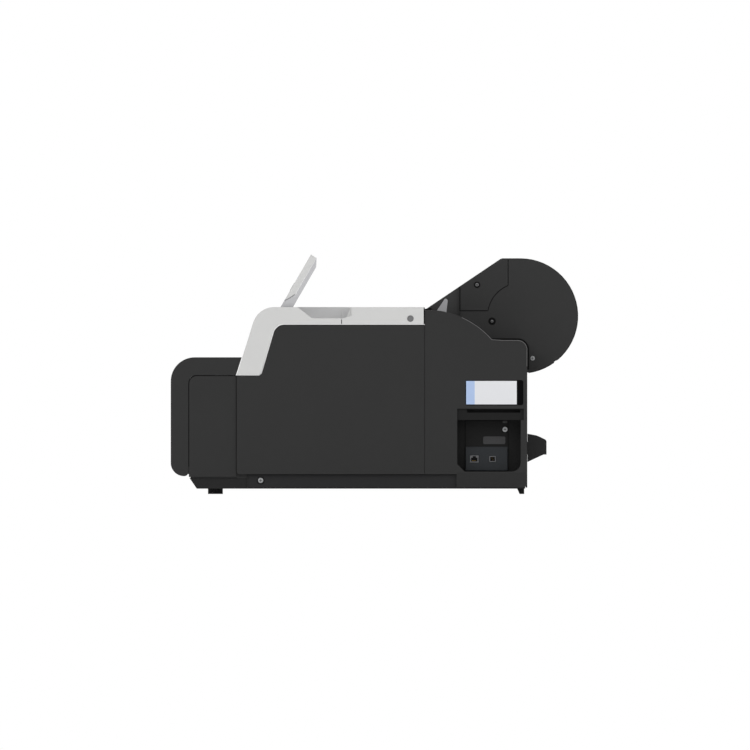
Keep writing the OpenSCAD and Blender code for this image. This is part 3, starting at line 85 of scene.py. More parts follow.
# %% Wire and Board
class Wire:
    """One socket of a material that Python can calculate with."""

    def __init__(self, board, socket):
        self.board, self.socket = board, socket

    def of(self, output):
        """Another output of the same node."""
        return Wire(self.board, self.board.pick(self.socket.node.outputs, output))

    def math(self, operation, first, second):
        """A Math node on two values or wires."""
        return self.board.add("Math", {"operation": operation}, {"Value": first, "Value_001": second})

    def __add__(self, other):
        return self.math("ADD", self, other)

    def __sub__(self, other):
        return self.math("SUBTRACT", self, other)

    def __rsub__(self, other):
        return self.math("SUBTRACT", other, self)

    def __mul__(self, other):
        return self.math("MULTIPLY", self, other)

    def __pow__(self, other):
        return self.math("POWER", self, other)

    def __gt__(self, other):
        return self.math("GREATER_THAN", self, other)

    def __lt__(self, other):
        return self.math("LESS_THAN", self, other)

    __radd__, __rmul__ = __add__, __mul__

    def clamp(self):
        """The value, kept between 0 and 1."""
        return self.math("MINIMUM", self.math("MAXIMUM", self, 0.0), 1.0)


class Board:
    """The node tree of one material, or of the world."""

    def __init__(self, owner):
        owner.use_nodes = True
        self.owner, self.tree = owner, owner.node_tree
        self.tree.nodes.clear()

    @staticmethod
    def pick(sockets, key):
        """A socket by its number or its identifier."""
        if isinstance(key, int):
            return sockets[key]
        return next(socket for socket in sockets if socket.identifier == key)

    def add(self, kind, settings=None, inputs=None, output=0):
        """A node of that kind, with its settings first, then the values or wires of its sockets."""
        node = self.tree.nodes.new("ShaderNode" + kind)
        for key, value in (settings or {}).items():
            setattr(node, key, value)
        for key, value in (inputs or {}).items():
            socket = self.pick(node.inputs, key)
            if isinstance(value, Wire):
                self.tree.links.new(value.socket, socket)
            else:
                socket.default_value = value
        return Wire(self, self.pick(node.outputs, output)) if node.outputs else None

    def mix(self, share, low, high):
        """A colour that goes from low to high as share goes from 0 to 1."""
        inputs = {"Factor_Float": share, "A_Color": low, "B_Color": high}
        return self.add("Mix", {"data_type": "RGBA"}, inputs, "Result_Color")


print("shader sums ready")

# %% [markdown]
# ## Stage and light
# A product shot like this one has a white room and broad soft lamps. The floor shows white to the camera
# and to reflections, but keeps a part of its own shading, so the shadow under the feet stays. The lamps
# are set so that a mid grey renders about as it is written.

# %% World
def seen(board):
    """1 where a ray comes from the camera, a reflection or a clear pane."""
    path = board.add("LightPath")
    rays = [path.of(name) for name in ("Is Camera Ray", "Is Glossy Ray", "Is Transmission Ray")]
    return (rays[0] + rays[1] + rays[2]).clamp()


AMBIENT = 0.47
WHITE = (1, 1, 1, 1)

world = bpy.data.worlds.new("white_room")
bpy.context.scene.world = world
room = Board(world)
ambient = room.add("Background", inputs={"Color": WHITE, "Strength": AMBIENT})
backdrop = room.add("Background", inputs={"Color": WHITE, "Strength": 1.0})
sky = room.add("MixShader", inputs={"Fac": seen(room), 1: ambient, 2: backdrop})
room.add("OutputWorld", inputs={"Surface": sky})
print("world", AMBIENT)

# %% Floor
FLOOR_HALF = 30.0
FLOOR_Z = -0.0002
FLOOR_PAINT = (0.86, 0.86, 0.86, 1)
SHADOW_SHARE = 0.15

corners = [(x * FLOOR_HALF, y * FLOOR_HALF, FLOOR_Z) for x, y in ((-1, -1), (1, -1), (1, 1), (-1, 1))]
floor_mesh = bpy.data.meshes.new("floor")
floor_mesh.from_pydata(corners, [], [(0, 1, 2, 3)])
floor = bpy.data.objects.new("floor", floor_mesh)
bpy.context.scene.collection.objects.link(floor)
paint = Board(bpy.data.materials.new("floor_paint"))
matt = paint.add("BsdfDiffuse", inputs={"Color": FLOOR_PAINT})
glow = paint.add("Emission", inputs={"Color": WHITE, "Strength": 1.0})
cover = paint.add("MixShader", inputs={"Fac": seen(paint) * (1 - SHADOW_SHARE), 1: matt, 2: glow})
paint.add("OutputMaterial", inputs={"Surface": cover})
floor_mesh.materials.append(paint.owner)
print("floor", 2 * FLOOR_HALF, "m")

# %% [markdown]
# Each lamp is a square sheet of light, with its place and width in metres and its power in watts. The key
# lamp, in front of the machine on the camera's side, is the strongest.

# %% Lamps
LAMPS_AIM = Vector((0, 0, 0.2))
LAMPS = {
    "key": ((3.6, -2.6, 3.0), 3.0, 86),
    "fill": ((3.4, 3.2, 2.2), 3.0, 38),
    "far_front": ((-3.6, -3.0, 2.8), 3.0, 56),
    "far_back": ((-3.0, 3.6, 2.8), 3.0, 56),
    "ceiling": ((0.0, 0.0, 4.2), 3.6, 81),
}
for name, (place, width, power) in LAMPS.items():
    lamp_data = bpy.data.lights.new(name, "AREA")
    lamp_data.shape, lamp_data.size, lamp_data.energy = "SQUARE", width, power
    lamp = bpy.data.objects.new(name, lamp_data)
    lamp.location = place
    lamp.rotation_euler = (LAMPS_AIM - Vector(place)).to_track_quat("-Z", "Y").to_euler()
    bpy.context.scene.collection.objects.link(lamp)
bpy.context.scene.view_settings.view_transform = "Standard"
print("lamps:", ", ".join(LAMPS))

# %% [markdown]
# ## Finishes
# Moulded cases are never one flat colour. The mould's spark-eroded grain breaks up the gloss, the colour
# drifts a little over a large panel, and handled edges are rubbed paler; that paler edge colour is also a
# painted highlight, for the light an eased edge catches. `moulded` makes those three from Object
# coordinates and a Bevel node, which rounds each sharp edge by a hair so that it catches the light.

# %% Colours and moulded plastic
EDGE_GAIN = 6.0
CLOUD_SIZE = 0.12
FLECK_FROM, FLECK_SHARE = 0.62, 0.12


def tone(*levels):
    """A colour given as 0 to 255 values, made linear for a shader."""
    def linear(value):
        return value / 12.92 if value <= 0.04045 else ((value + 0.055) / 1.055) ** 2.4
    return tuple(linear(level / 255) for level in levels) + (1.0,)


def tinted(colour, share, lift=0.0):
    """The colour times share, raised by lift, and no brighter than white."""
    return tuple(min(1.0, c * share + lift) for c in colour[:3]) + (1.0,)


def noise(board, at, size, detail=2.0, rough=0.5):
    """Noise whose lumps are about that many metres across."""
    inputs = {"Vector": at, "Scale": 1 / size, "Detail": detail, "Roughness": rough}
    return board.add("TexNoise", inputs=inputs)


def surface(board, **sockets):
    """The main shader and the output; a socket is named by its label, with _ for a space."""
    inputs = {key.replace("_", " "): value for key, value in sockets.items()}
    board.add("OutputMaterial", inputs={"Surface": board.add("BsdfPrincipled", inputs=inputs)})
    return board.owner


def eased_edge(board, radius):
    """The normal with edges eased by radius, and how near an edge the point is."""
    eased = board.add("Bevel", {"samples": 6}, {"Radius": radius})
    flat = board.add("NewGeometry", output="Normal")
    both = {"Vector": eased, "Vector_001": flat}
    facing = board.add("VectorMath", {"operation": "DOT_PRODUCT"}, both, "Value")
    return eased, ((1 - facing) * EDGE_GAIN).clamp()


def bumped(board, strength, depth, height, normal):
    """The normal roughened by a height, in relief of that depth in metres."""
    inputs = {"Strength": strength, "Distance": depth, "Height": height, "Normal": normal}
    return board.add("Bump", inputs=inputs)


def in_box(place, low, high):
    """1 inside the box from low to high, in millimetres; None leaves that side open."""
    tests = []
    for axis, least, most in zip("XYZ", low, high):
        if least is not None:
            tests.append(place.of(axis) > least * MM)
        if most is not None:
            tests.append(place.of(axis) < most * MM)
    share = tests[0]
    for test in tests[1:]:
        share = share * test
    return share


def moulded(name, colour, gloss, grain=0.0008, relief=0.00003, drift=0.07, edge_wear_and_light=1.5, edge=0.0012, sheen=0.2,
            zones=()):
    """Grained plastic with edges paler by a factor, for wear and a painted highlight; a zone is (low, high,
    colour, roughness, metallic).
    """
    board = Board(bpy.data.materials.new(name))
    at = board.add("TexCoord", output="Object")
    place = board.add("SeparateXYZ", inputs={"Vector": at})
    eased, near_edge = eased_edge(board, edge)
    cloud = noise(board, at, CLOUD_SIZE, 3.0)
    pits = noise(board, at, grain, 2.0, 0.6)
    body = board.mix(cloud, tinted(colour, 1 - drift), tinted(colour, 1 + drift))
    pale, rough, metal = tinted(colour, edge_wear_and_light), gloss, 0.0
    for low, high, tint, zone_gloss, zone_metal in zones:
        share = in_box(place, low, high)
        body = board.mix(share, body, tint)
        pale = board.mix(share, pale, tinted(tint, edge_wear_and_light))
        rough = share * (zone_gloss - rough) + rough
        if zone_metal or metal:
            metal = share * (zone_metal - metal) + metal
    fleck = board.mix((pits > FLECK_FROM) * FLECK_SHARE, body, pale)
    # The edges take the paler colour: partly wear, partly a painted highlight.
    return surface(board, Base_Color=board.mix(near_edge * 0.5, fleck, pale), Metallic=metal,
                   Roughness=(cloud - 0.5) * 0.10 + (pits - 0.5) * 0.12 + rough,
                   Normal=bumped(board, 0.6, relief, pits, eased), Specular_IOR_Level=sheen)


print("mid grey is", tuple(round(c, 3) for c in tone(128, 128, 128)))

# %% [markdown]
# ## Case finishes
# The case has three tones: a charcoal textured skin, a darker base, and pale corners. The recess round
# the sockets is a cooler grey, and its upper part lies so deep in shade that a zone makes it nearly
# black.

# %% Case finishes
CHARCOAL = tone(39, 39, 39)
PALE = tone(201, 201, 200)
BASE_BLACK = tone(30, 30, 31)
BLACK = tone(19, 19, 20)
FINISH = {
    "case_dark": moulded("charcoal_case", CHARCOAL, 0.50),
    "base_dark": moulded("base_black", BASE_BLACK, 0.58, grain=0.0011, relief=0.00005),
    "case_light": moulded("pale_case", PALE, 0.42, drift=0.015, edge_wear_and_light=1.08, sheen=0.4),
    "trim_grey": moulded("trim_grey", tone(160, 160, 162), 0.45, drift=0.03, edge_wear_and_light=1.15, sheen=0.4),
    "inner_black": moulded("inner_black", tone(24, 24, 25), 0.60, drift=0.10, edge_wear_and_light=1.8),
    "port_grey": moulded("port_blue_grey", tone(38, 41, 44), 0.40, drift=0.06, zones=[
        ((None, None, 89), (None, None, None), tone(4, 4, 4), 0.6, 0.0)]),
}
print(len(FINISH), "moulded finishes")

# %% [markdown]
# ## Sheet steel, cast alloy and rubber
# Folded chassis parts are zinc-plated sheet: the rolling direction draws out fine streaks, and the zinc
# leaves faint flakes. Streaks come from noise squeezed in one direction, so they run along the part.

# %% Metals and rubber
STREAK_SIZE = 0.0015
FLAKES_PER_METRE = 110.0


def stretched(board, at, along):
    """The coordinates squeezed so that a pattern on them draws out along an axis."""
    return board.add("Mapping", {"vector_type": "POINT"}, {"Vector": at, "Scale": along})


def rolled_metal(name, colour, gloss, along, streak=0.06):
    """Bare metal with streaks along one axis and faint flakes."""
    board = Board(bpy.data.materials.new(name))
    at = board.add("TexCoord", output="Object")
    eased, near_edge = eased_edge(board, 0.0004)
    streaks = noise(board, stretched(board, at, along), STREAK_SIZE, 3.0, 0.6)
    flakes = board.add("TexVoronoi", inputs={"Vector": at, "Scale": FLAKES_PER_METRE}, output="Color")
    flake = board.add("SeparateColor", inputs={"Color": flakes})
    pale = tinted(colour, 1.12)
    tint = board.mix(streaks * 0.7 + flake * 0.3, tinted(colour, 0.86), pale)
    # The edges take the paler colour: partly wear, partly a painted highlight.
    return surface(board, Base_Color=board.mix(near_edge * 0.4, tint, pale), Metallic=1.0,
                   Roughness=gloss + (streaks - 0.5) * streak * 2 + flake * 0.06,
                   Normal=bumped(board, 0.3, 0.00001, streaks, eased))


FINISH["steel"] = rolled_metal("plated_steel", tone(176, 178, 181), 0.34, (0.04, 1, 1))
FINISH["alloy"] = rolled_metal("grey_alloy", tone(150, 152, 155), 0.42, (1, 0.08, 1))
FINISH["rubber"] = moulded("black_rubber", tone(30, 30, 30), 0.82, grain=0.0005, relief=0.00006, edge_wear_and_light=1.9)
print("metals and rubber")

# %% [markdown]
# ## Glass, paper, card and board
# The touch screen is black glass with a hint of finger grease, which shows only in the gloss. The window
# is smoked clear plastic, so its alpha lets the carriage show through, and it has a dark printed border.
# The roll's ends show the turns of the paper as fine rings, and these follow the distance from the
# spindle.

# %% Screen and window
def glass(name, colour, gloss, clear, smear, border=None):
    """Dark glass: clear is its alpha, and outside the border's box it is nearly opaque."""
    board = Board(bpy.data.materials.new(name))
    at = board.add("TexCoord", output="Object")
    smears = noise(board, stretched(board, at, (1, 0.35, 0.35)), 0.02, 4.0, 0.6)
    dust = noise(board, at, 0.0012, 1.0)
    if border:
        outside = 1 - in_box(board.add("SeparateXYZ", inputs={"Vector": at}), *border)
        clear = outside * (BORDER_ALPHA - clear) + clear
    return surface(board, Base_Color=board.mix((dust > 0.68) * 0.25, colour, tinted(colour, 1.6, 0.004)),
                   Roughness=(gloss + (smears - 0.45) * smear).clamp(), Alpha=smears * 0.01 + clear,
                   Coat_Weight=0.1, Coat_Roughness=0.04, IOR=1.5, Specular_IOR_Level=0.25)


BORDER_ALPHA = 0.97
BORDER_WIDTH = 9
FINISH["screen"] = glass("screen_glass", tone(14, 15, 18), 0.09, 0.96, 0.16)
pane_low, pane_high = box_mm("cover_window")
clear_low = (pane_low.x + BORDER_WIDTH, pane_low.y + BORDER_WIDTH, None)
clear_high = (pane_high.x - BORDER_WIDTH, pane_high.y - BORDER_WIDTH, None)
FINISH["window"] = glass("smoked_window", tone(20, 21, 23), 0.10, 0.62, 0.03, (clear_low, clear_high))
print("glass")

# %% Paper and card
def from_axle(place, centre_y, centre_z):
    """How far the point is from an axle along X, in metres."""
    return ((place.of("Y") - centre_y) ** 2.0 + (place.of("Z") - centre_z) ** 2.0) ** 0.5


def middle_of(node):
    """The Y and Z of a node's middle, in metres."""
    low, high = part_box(node)
    return tuple(((low + high) / 2).yz)


def wound(name, inner, outer, turn, gloss):
    """Paper or card wound on the spindle, with its turns showing at the ends."""
    board = Board(bpy.data.materials.new(name))
    at = board.add("TexCoord", output="Object")
    radius = from_axle(board.add("SeparateXYZ", inputs={"Vector": at}), *SPINDLE_AT)
    fibres = noise(board, at, 0.0009, 4.0, 0.7)
    turns = noise(board, board.add("CombineXYZ", inputs={"X": radius}), turn, 1.0)
    bump = board.add("Bump", inputs={"Strength": 0.5, "Distance": 0.00003, "Height": fibres + turns * 0.5})
    return surface(board, Base_Color=board.mix((turns * 0.75 + fibres * 0.25).clamp(), inner, outer),
                   Roughness=gloss + (fibres - 0.5) * 0.12, Normal=bump)


SPINDLE_AT = middle_of("paper_roll")
FINISH["paper"] = wound("wound_paper", tone(214, 213, 209), tone(240, 240, 237), 0.0011, 0.72)
FINISH["card"] = wound("kraft_card", tone(150, 118, 84), tone(192, 158, 118), 0.0016, 0.85)
print("the spindle lies at", [round(v / MM, 1) for v in SPINDLE_AT])

# %% Circuit board
def circuit():
    """Green solder mask with tracks; the parts on its inner side are black."""
    board = Board(bpy.data.materials.new("circuit_board"))
    at = board.add("TexCoord", output="Object")
    chips = board.add("SeparateXYZ", inputs={"Vector": at}).of("X") < CHIPS_FROM
    pattern = {"Vector": at, "Scale": LANES_PER_METRE, "Mortar Size": 0.03}
    lanes = board.add("TexBrick", {"offset": 0.35}, pattern, "Fac")
    shades = noise(board, at, 0.006, 3.0)
    mask = board.mix(lanes * 0.8 + shades * 0.2, tone(22, 74, 44), tone(56, 122, 74))
    colour = board.mix(chips, mask, tone(30, 30, 32))
    return surface(board, Base_Color=colour, Roughness=0.34 + shades * 0.2)


LANES_PER_METRE = 60.0
CHIPS_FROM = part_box("main_board")[0].x + 3.1 * MM
FINISH["board_green"] = circuit()
print("circuit board")

# %% [markdown]
# ## Nodes made of two materials
# A roller is rubber on a steel shaft, yet it is one node, so its material has to know where one ends.
# `two_part` mixes two finishes' colour, gloss and metal by a mask worked out from the point's own place.

# %% Two-part finishes
def two_part(name, mask, inside, outside, grain=0.0008):
    """inside and outside are (colour, roughness, metallic); mask is 1 inside."""
    board = Board(bpy.data.materials.new(name))
    at = board.add("TexCoord", output="Object")
    share = mask(board.add("SeparateXYZ", inputs={"Vector": at}))
    grains = noise(board, at, grain, 2.0, 0.6)
    eased, near_edge = eased_edge(board, 0.0006)

    def between(part):
        low, high = outside[part], inside[part]
        return share * (high - low) + low

    base = board.mix(share, outside[0], inside[0])
    pale = board.mix(share, tinted(outside[0], 1.35, 0.004), tinted(inside[0], 1.35, 0.004))
    # The edges are paler partly for wear and partly as a painted highlight; the grain adds a random paling.
    worn_and_lit = (near_edge * 0.4 + (grains - 0.5) * 0.3).clamp()
    return surface(board, Base_Color=board.mix(worn_and_lit, base, pale), Metallic=between(2),
                   Roughness=between(1) + (grains - 0.5) * 0.14,
                   Normal=bumped(board, 0.4, 0.00003, grains, eased))


def ring(centre, radius):
    """A mask that is 1 further than radius from an axle along X."""
    def mask(place):
        return from_axle(place, *centre) > radius
    return mask


def above(height):
    """A mask that is 1 over that height."""
    def mask(place):
        return place.of("Z") > height
    return mask


print("two-part finishes ready")

# %% [markdown]
# ## Ink cartridges
# Five cartridges stand side by side behind each bay door, and a cartridge shows its ink's colour only on
# the label at its front. They are one node, so `moulded` gets a zone for each label, on the right and
# again on the left.

# %% Ink colours
INKS = ((30, 30, 32), (0, 124, 178), (196, 30, 110), (232, 198, 20), (120, 122, 126))
LABELS_BEFORE = -290
BAY_WALL, BAY_WALLS = 3, 7

bay_low, bay_high = box_mm("bay_housing_right")
pitch = (bay_high.x - bay_low.x - BAY_WALLS) / len(INKS)
ink_zones = []
for i, colour in enumerate(INKS):
    inner = bay_low.x + BAY_WALL + pitch * i
    outer = bay_low.x + BAY_WALL + pitch * (i + 1)
    for low_x, high_x in ((inner, outer), (-outer, -inner)):
        ink_zones.append(((low_x, None, None), (high_x, LABELS_BEFORE, None), tone(*colour), 0.45, 0.0))
print(len(ink_zones), "ink labels,", round(pitch, 1), "mm apart")

# %% [markdown]
# ## Finishes of single nodes
# Some nodes need a finish of their own: a socket's black body has a metal shell, the recess in the rear
# housing is painted near black for the deep shade in it, and the panel's back is painted a shade below its
# moulded face. Zones in the material do this without a cut in the mesh. All other nodes take the finish
# that the CAD record names for them.

# %% Finishes by node
STEEL_PART = (tone(178, 180, 183), 0.32, 1.0)
BLACK_PART = (BASE_BLACK, 0.58, 0.0)
RUBBER_PART = (tone(34, 34, 35), 0.82, 0.0)
GREY_PART = (tone(160, 160, 162), 0.46, 0.0)
SHELL_ZONE = ((459.6, None, None), (None, None, None), tone(104, 104, 106), 0.4, 0.0)
INLET_PINS = ((-300, 268, 79), (-280, 276.5, 93), tone(176, 178, 181), 0.34, 1.0)
FOOT_DARK = tone(34, 34, 34)
NOSE_DARK = tone(25, 25, 25)
WHEELS = ring(middle_of("pinch_rollers"), 3.5 * MM)
CARRIAGE_BODY = above(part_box("carriage")[0].z + 6 * MM)
CAP_LIPS = above(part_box("capping_station")[1].z - 6.7 * MM)
FLANGES = ring(SPINDLE_AT, 8.2 * MM)
# The roll unit's charcoal is a little paler than the case's: a painted lift of light against the shade the
# inboard cheeks lie in.
ROLL_CASE = moulded("roll_case", tone(43, 43, 43), 0.50)
# The panel's pocket is painted paler inside: a painted lift of light against the shade it lies in.
PALE_CORNER = moulded("pale_corner", PALE, 0.42, drift=0.015, edge_wear_and_light=1.08, sheen=0.4, zones=[
    ((255, -146, 322), (478, -20, 352), tone(222, 222, 222), 0.42, 0.0)])
OWN_FINISH = {
    # The walls of the recess and its upper part are painted near black, painted shade for the depth of the
    # recess; the housing's foot is darker.
    "rear_housing_right": moulded("rear_case", CHARCOAL, 0.50, zones=[
        ((451, 155, 41), (491.2, 281, 139.2), tone(6, 6, 6), 0.6, 0.0),
        ((451, 155, 139.2), (490.6, 281, 161), tone(8, 8, 8), 0.55, 0.0),
        ((None, 155, None), (None, None, 40.5), FOOT_DARK, 0.5, 0.0)]),
    "base_pan": moulded("base_case", BASE_BLACK, 0.58, grain=0.0011, relief=0.00005, zones=[
        ((None, None, None), (None, -235, None), NOSE_DARK, 0.58, 0.0)]),
    "network_socket": moulded("network_shell", BLACK, 0.5, zones=[SHELL_ZONE]),
    "usb_socket": moulded("usb_shell", BLACK, 0.5, zones=[SHELL_ZONE]),
    "power_inlet": moulded("inlet_black", BLACK, 0.5, zones=[INLET_PINS]),
    "ink_cartridges": moulded("ink_cartridge", BLACK, 0.42, zones=ink_zones),
    # The lid's web in front of the cheek is painted paler: a painted lift of light against the shade it lies
    # in.
    "roll_cover": moulded("roll_cover_charcoal", CHARCOAL, 0.50, zones=[
        ((320, None, 320), (None, 161, None), tone(54, 54, 54), 0.5, 0.0)]),
    "panel_bezel": moulded("panel_pale", PALE, 0.42, relief=0.00001, drift=0.01, edge_wear_and_light=1.0, edge=0.0,
                           sheen=0.4),
    "panel_back": moulded("panel_grey", tone(184, 184, 186), 0.45, drift=0.02, edge_wear_and_light=1.1, sheen=0.4),
    "wall_spacers": moulded("spacer_black", tone(35, 35, 35), 0.55),
    "pinch_rollers": two_part("pinch_rubber", WHEELS, RUBBER_PART, STEEL_PART, 0.0005),
    "carriage": two_part("carriage_black", CARRIAGE_BODY, BLACK_PART, STEEL_PART),
    "capping_station": two_part("cap_rubber", CAP_LIPS, RUBBER_PART, BLACK_PART),
    "spindle": two_part("spindle_grey", FLANGES, GREY_PART, BLACK_PART),
    "roll_cheek_right": ROLL_CASE,
    "roll_cheek_left": ROLL_CASE,
    "cheek_caps": ROLL_CASE,
    "fascia_right": PALE_CORNER,
    "top_cap_right": PALE_CORNER,
}
print(len(OWN_FINISH), "nodes with a finish of their own")

# %% Dress the frame
for name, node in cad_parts.items():
    slots = node.data.materials
    look = OWN_FINISH.get(name) or FINISH[slots[0].name]
    for i in range(len(slots)):
        slots[i] = look
print("dressed", len(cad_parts), "nodes")

# %% [markdown]
# ## Small parts
# Labels, gaskets and marks are thin solids laid on the case. `Shape` collects prisms drawn in
# millimetres, and `finish` makes one mesh of them that rides a body of the frame. A prism is drawn on the
# machine's right side, and `mirror` can put it on the left.

# %% Shape
def as_drawn(x, y, z):
    """A point left where it is."""
    return x, y, z


def mirror(side):
    """A placing that leaves a point on the right for 1 and takes it to the left for -1."""
    def place(x, y, z):
        return side * x, y, z
    return place


class Shape:
    """Prisms and boxes in millimetres, gathered into one closed mesh."""

    def __init__(self):
        self.mesh = bmesh.new()

    def prism(self, outline, start, end, place=as_drawn):
        """The outline, in Y and Z, made solid along X from start to end."""
        rings = [self.ring([place(x, y, z) for y, z in outline]) for x in (start, end)]
        self.mesh.faces.new(rings[0][::-1])
        self.mesh.faces.new(rings[1])
        self.skin(rings[0], rings[1])
        return self

    def ring(self, points):
        """Corners of the mesh at those points."""
        return [self.mesh.verts.new(Vector(point) * MM) for point in points]

    def skin(self, first, second):
        """The faces between two rings of points."""
        for i in range(len(first)):
            j = (i + 1) % len(first)
            self.mesh.faces.new((first[i], first[j], second[j], second[i]))

    def box(self, low, high, place=as_drawn):
        """The box from low to high."""
        outline = [(low[1], low[2]), (high[1], low[2]), (high[1], high[2]), (low[1], high[2])]
        return self.prism(outline, low[0], high[0], place)

    def finish(self, name, body, slot, look):
        """The mesh as a piece of the plotter."""
        bmesh.ops.recalc_face_normals(self.mesh, faces=self.mesh.faces)
        mesh = bpy.data.meshes.new(name)
        self.mesh.to_mesh(mesh)
        self.mesh.free()
        mesh.materials.append(look)
        piece = bpy.data.objects.new(name, mesh)
        bpy.context.scene.collection.objects.link(piece)
        settle(piece, body)


def settle(piece, body, replaces=()):
    """Fix a piece to its body, and hide the nodes it replaces."""
    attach(piece, body)
    if replaces:
        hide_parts(*replaces)
    print(piece.name, len(piece.data.polygons), "faces on", body)


def bend(centre, radius, first, last, steps=16):
    """Points on an arc from one angle to another, in degrees."""
    angles = [math.radians(first + (last - first) * i / steps) for i in range(steps + 1)]
    return [(centre[0] + radius * math.cos(a), centre[1] + radius * math.sin(a)) for a in angles]


def disc(centre, radius, count=32):
    """Points round a circle."""
    return bend(centre, radius, 0, 360 - 360 / count, count - 1)


def rounded(low, high, radius, steps=6):
    """A rectangle in Y and Z with round corners."""
    near = (low[0] + radius, low[1] + radius)
    far = (high[0] - radius, high[1] - radius)
    points = []
    for turn, centre in ((0, far), (90, (near[0], far[1])), (180, near), (270, (far[0], near[1]))):
        points += bend(centre, radius, turn, turn + 90, steps)
    return points


def band(path, width):
    """A strip of that width along a path in Y and Z."""
    sides = ([], [])
    for i, point in enumerate(path):
        before, after = path[max(0, i - 1)], path[min(len(path) - 1, i + 1)]
        run = Vector((after[0] - before[0], after[1] - before[1])).normalized()
        for side, sign in zip(sides, (1, -1)):
            side.append((point[0] - run.y * sign * width / 2, point[1] + run.x * sign * width / 2))
    return sides[0] + sides[1][::-1]


print("shapes ready")

# %% [markdown]
# ## Labels
# The plate by the sockets is a bare one: a blue field, a pale field and a dark field in a black border.
# Its colours are zones of one material, so nothing on it can be read. The sockets have a plain grey strip
# above them and a moulded clip higher up, both on the recess's back.

# %% Labels
HOUSING_FACE = 494
RECESS_BACK = 456.2
LABEL_LOW, LABEL_HIGH = (170.8, 166.9), (279.8, 214.1)
LABEL_RIM = 1.6
BLUE_TO, PALE_TO = 188.4, 267.5

field_low = [v + LABEL_RIM for v in LABEL_LOW]
field_high = [v - LABEL_RIM for v in LABEL_HIGH]
LABEL_LOOK = moulded("bare_label", tone(3, 3, 4), 0.45, relief=0.00001, edge_wear_and_light=1.1, sheen=0.05, zones=[
    ((None, *field_low), (None, BLUE_TO, field_high[1]), tone(172, 192, 226), 0.45, 0.0),
    ((None, BLUE_TO, field_low[1]), (None, PALE_TO, field_high[1]), tone(222, 223, 226), 0.45, 0.0)])
SLOT_GREY = moulded("slot_label_grey", tone(60, 60, 61), 0.5, edge_wear_and_light=1.1)
CLIP_GREY = moulded("clip_grey", tone(58, 58, 58), 0.5)

label = Shape().prism(rounded(LABEL_LOW, LABEL_HIGH, 4.0), HOUSING_FACE - 0.05, HOUSING_FACE + 0.25)
label.finish("product_label", "cabinet", None, LABEL_LOOK)
strip = Shape().prism(rounded((204.2, 93.6), (246.3, 108.4), 3.4), RECESS_BACK, RECESS_BACK + 0.7)
strip.finish("slot_label", "cabinet", "port_grey", SLOT_GREY)
clip = Shape().prism(rounded((240.9, 133.2), (249.9, 137.6), 1.6), RECESS_BACK, RECESS_BACK + 2.8)
clip.finish("socket_clip", "cabinet", "port_grey", CLIP_GREY)

# %% [markdown]
# ## Gaskets, painted seam shadows and a painted rim highlight
# Real cases have foam or a labyrinth behind each seam, so no daylight passes. A thin dark strip lies in
# each seam, and a broader one seals the roll unit's cheeks against the rear housing; round the rear corner
# that one is black and is also a painted shadow of the gap. A seam also reads as dark because little light
# gets into it, so the door's seam, the service cap's seam on the cheek and the top cap's rear seam have
# strips a little proud of the face, painted shadows of those gaps. A pale strip along the housing's rim is
# a painted highlight, for the light its rounded edge catches. Every outline is drawn in Y and Z on the
# right side.

# %% Outlines of the seams
door_side = [(-349.3, 52.0), (-349.3, 120.0)] + bend((-334, 208), 15.4, 180, 90, 8)
door_top = [door_side[-1], (-300, 223.3), (-260.4, 223.3)]
door_shadow = [(y + 0.2, z - 0.7) for y, z in door_side + door_top[1:]]
cap_edge = [(160.8, 389.3), (160.8, 344.5), (212.2, 344.5)] + bend((274.5, 334.6), 62, 170, 113, 12)
cap_edge += [(251.1, 393.5), (251.1, 441)]
cheek_tip = [(94.7, 343.2), (107, 343.2), (107, 349.8), (100.5, 349.8), (97, 348.2), (94.7, 348.2)]
ARCH, REAR_CORNER = (97.8, 182.8), (269.3, 271.3)
arch_seal = bend(ARCH, 165.4, 66, 41.2)
corner_seal_and_shadow = [(222.3, 291.1), (266, 291.1)] + bend(REAR_CORNER, 19.8, 85, 5, 8)
corner_seal_and_shadow += [(289.1, 266), (289.1, 234)]
rim = bend(ARCH, 163, 66, 41.2) + [(240, 288.7), (266, 288.7)]
rim += bend(REAR_CORNER, 17.4, 85, 5, 8) + [(286.7, 266), (286.7, 240)]
print("the housing's rim has", len(rim), "points")

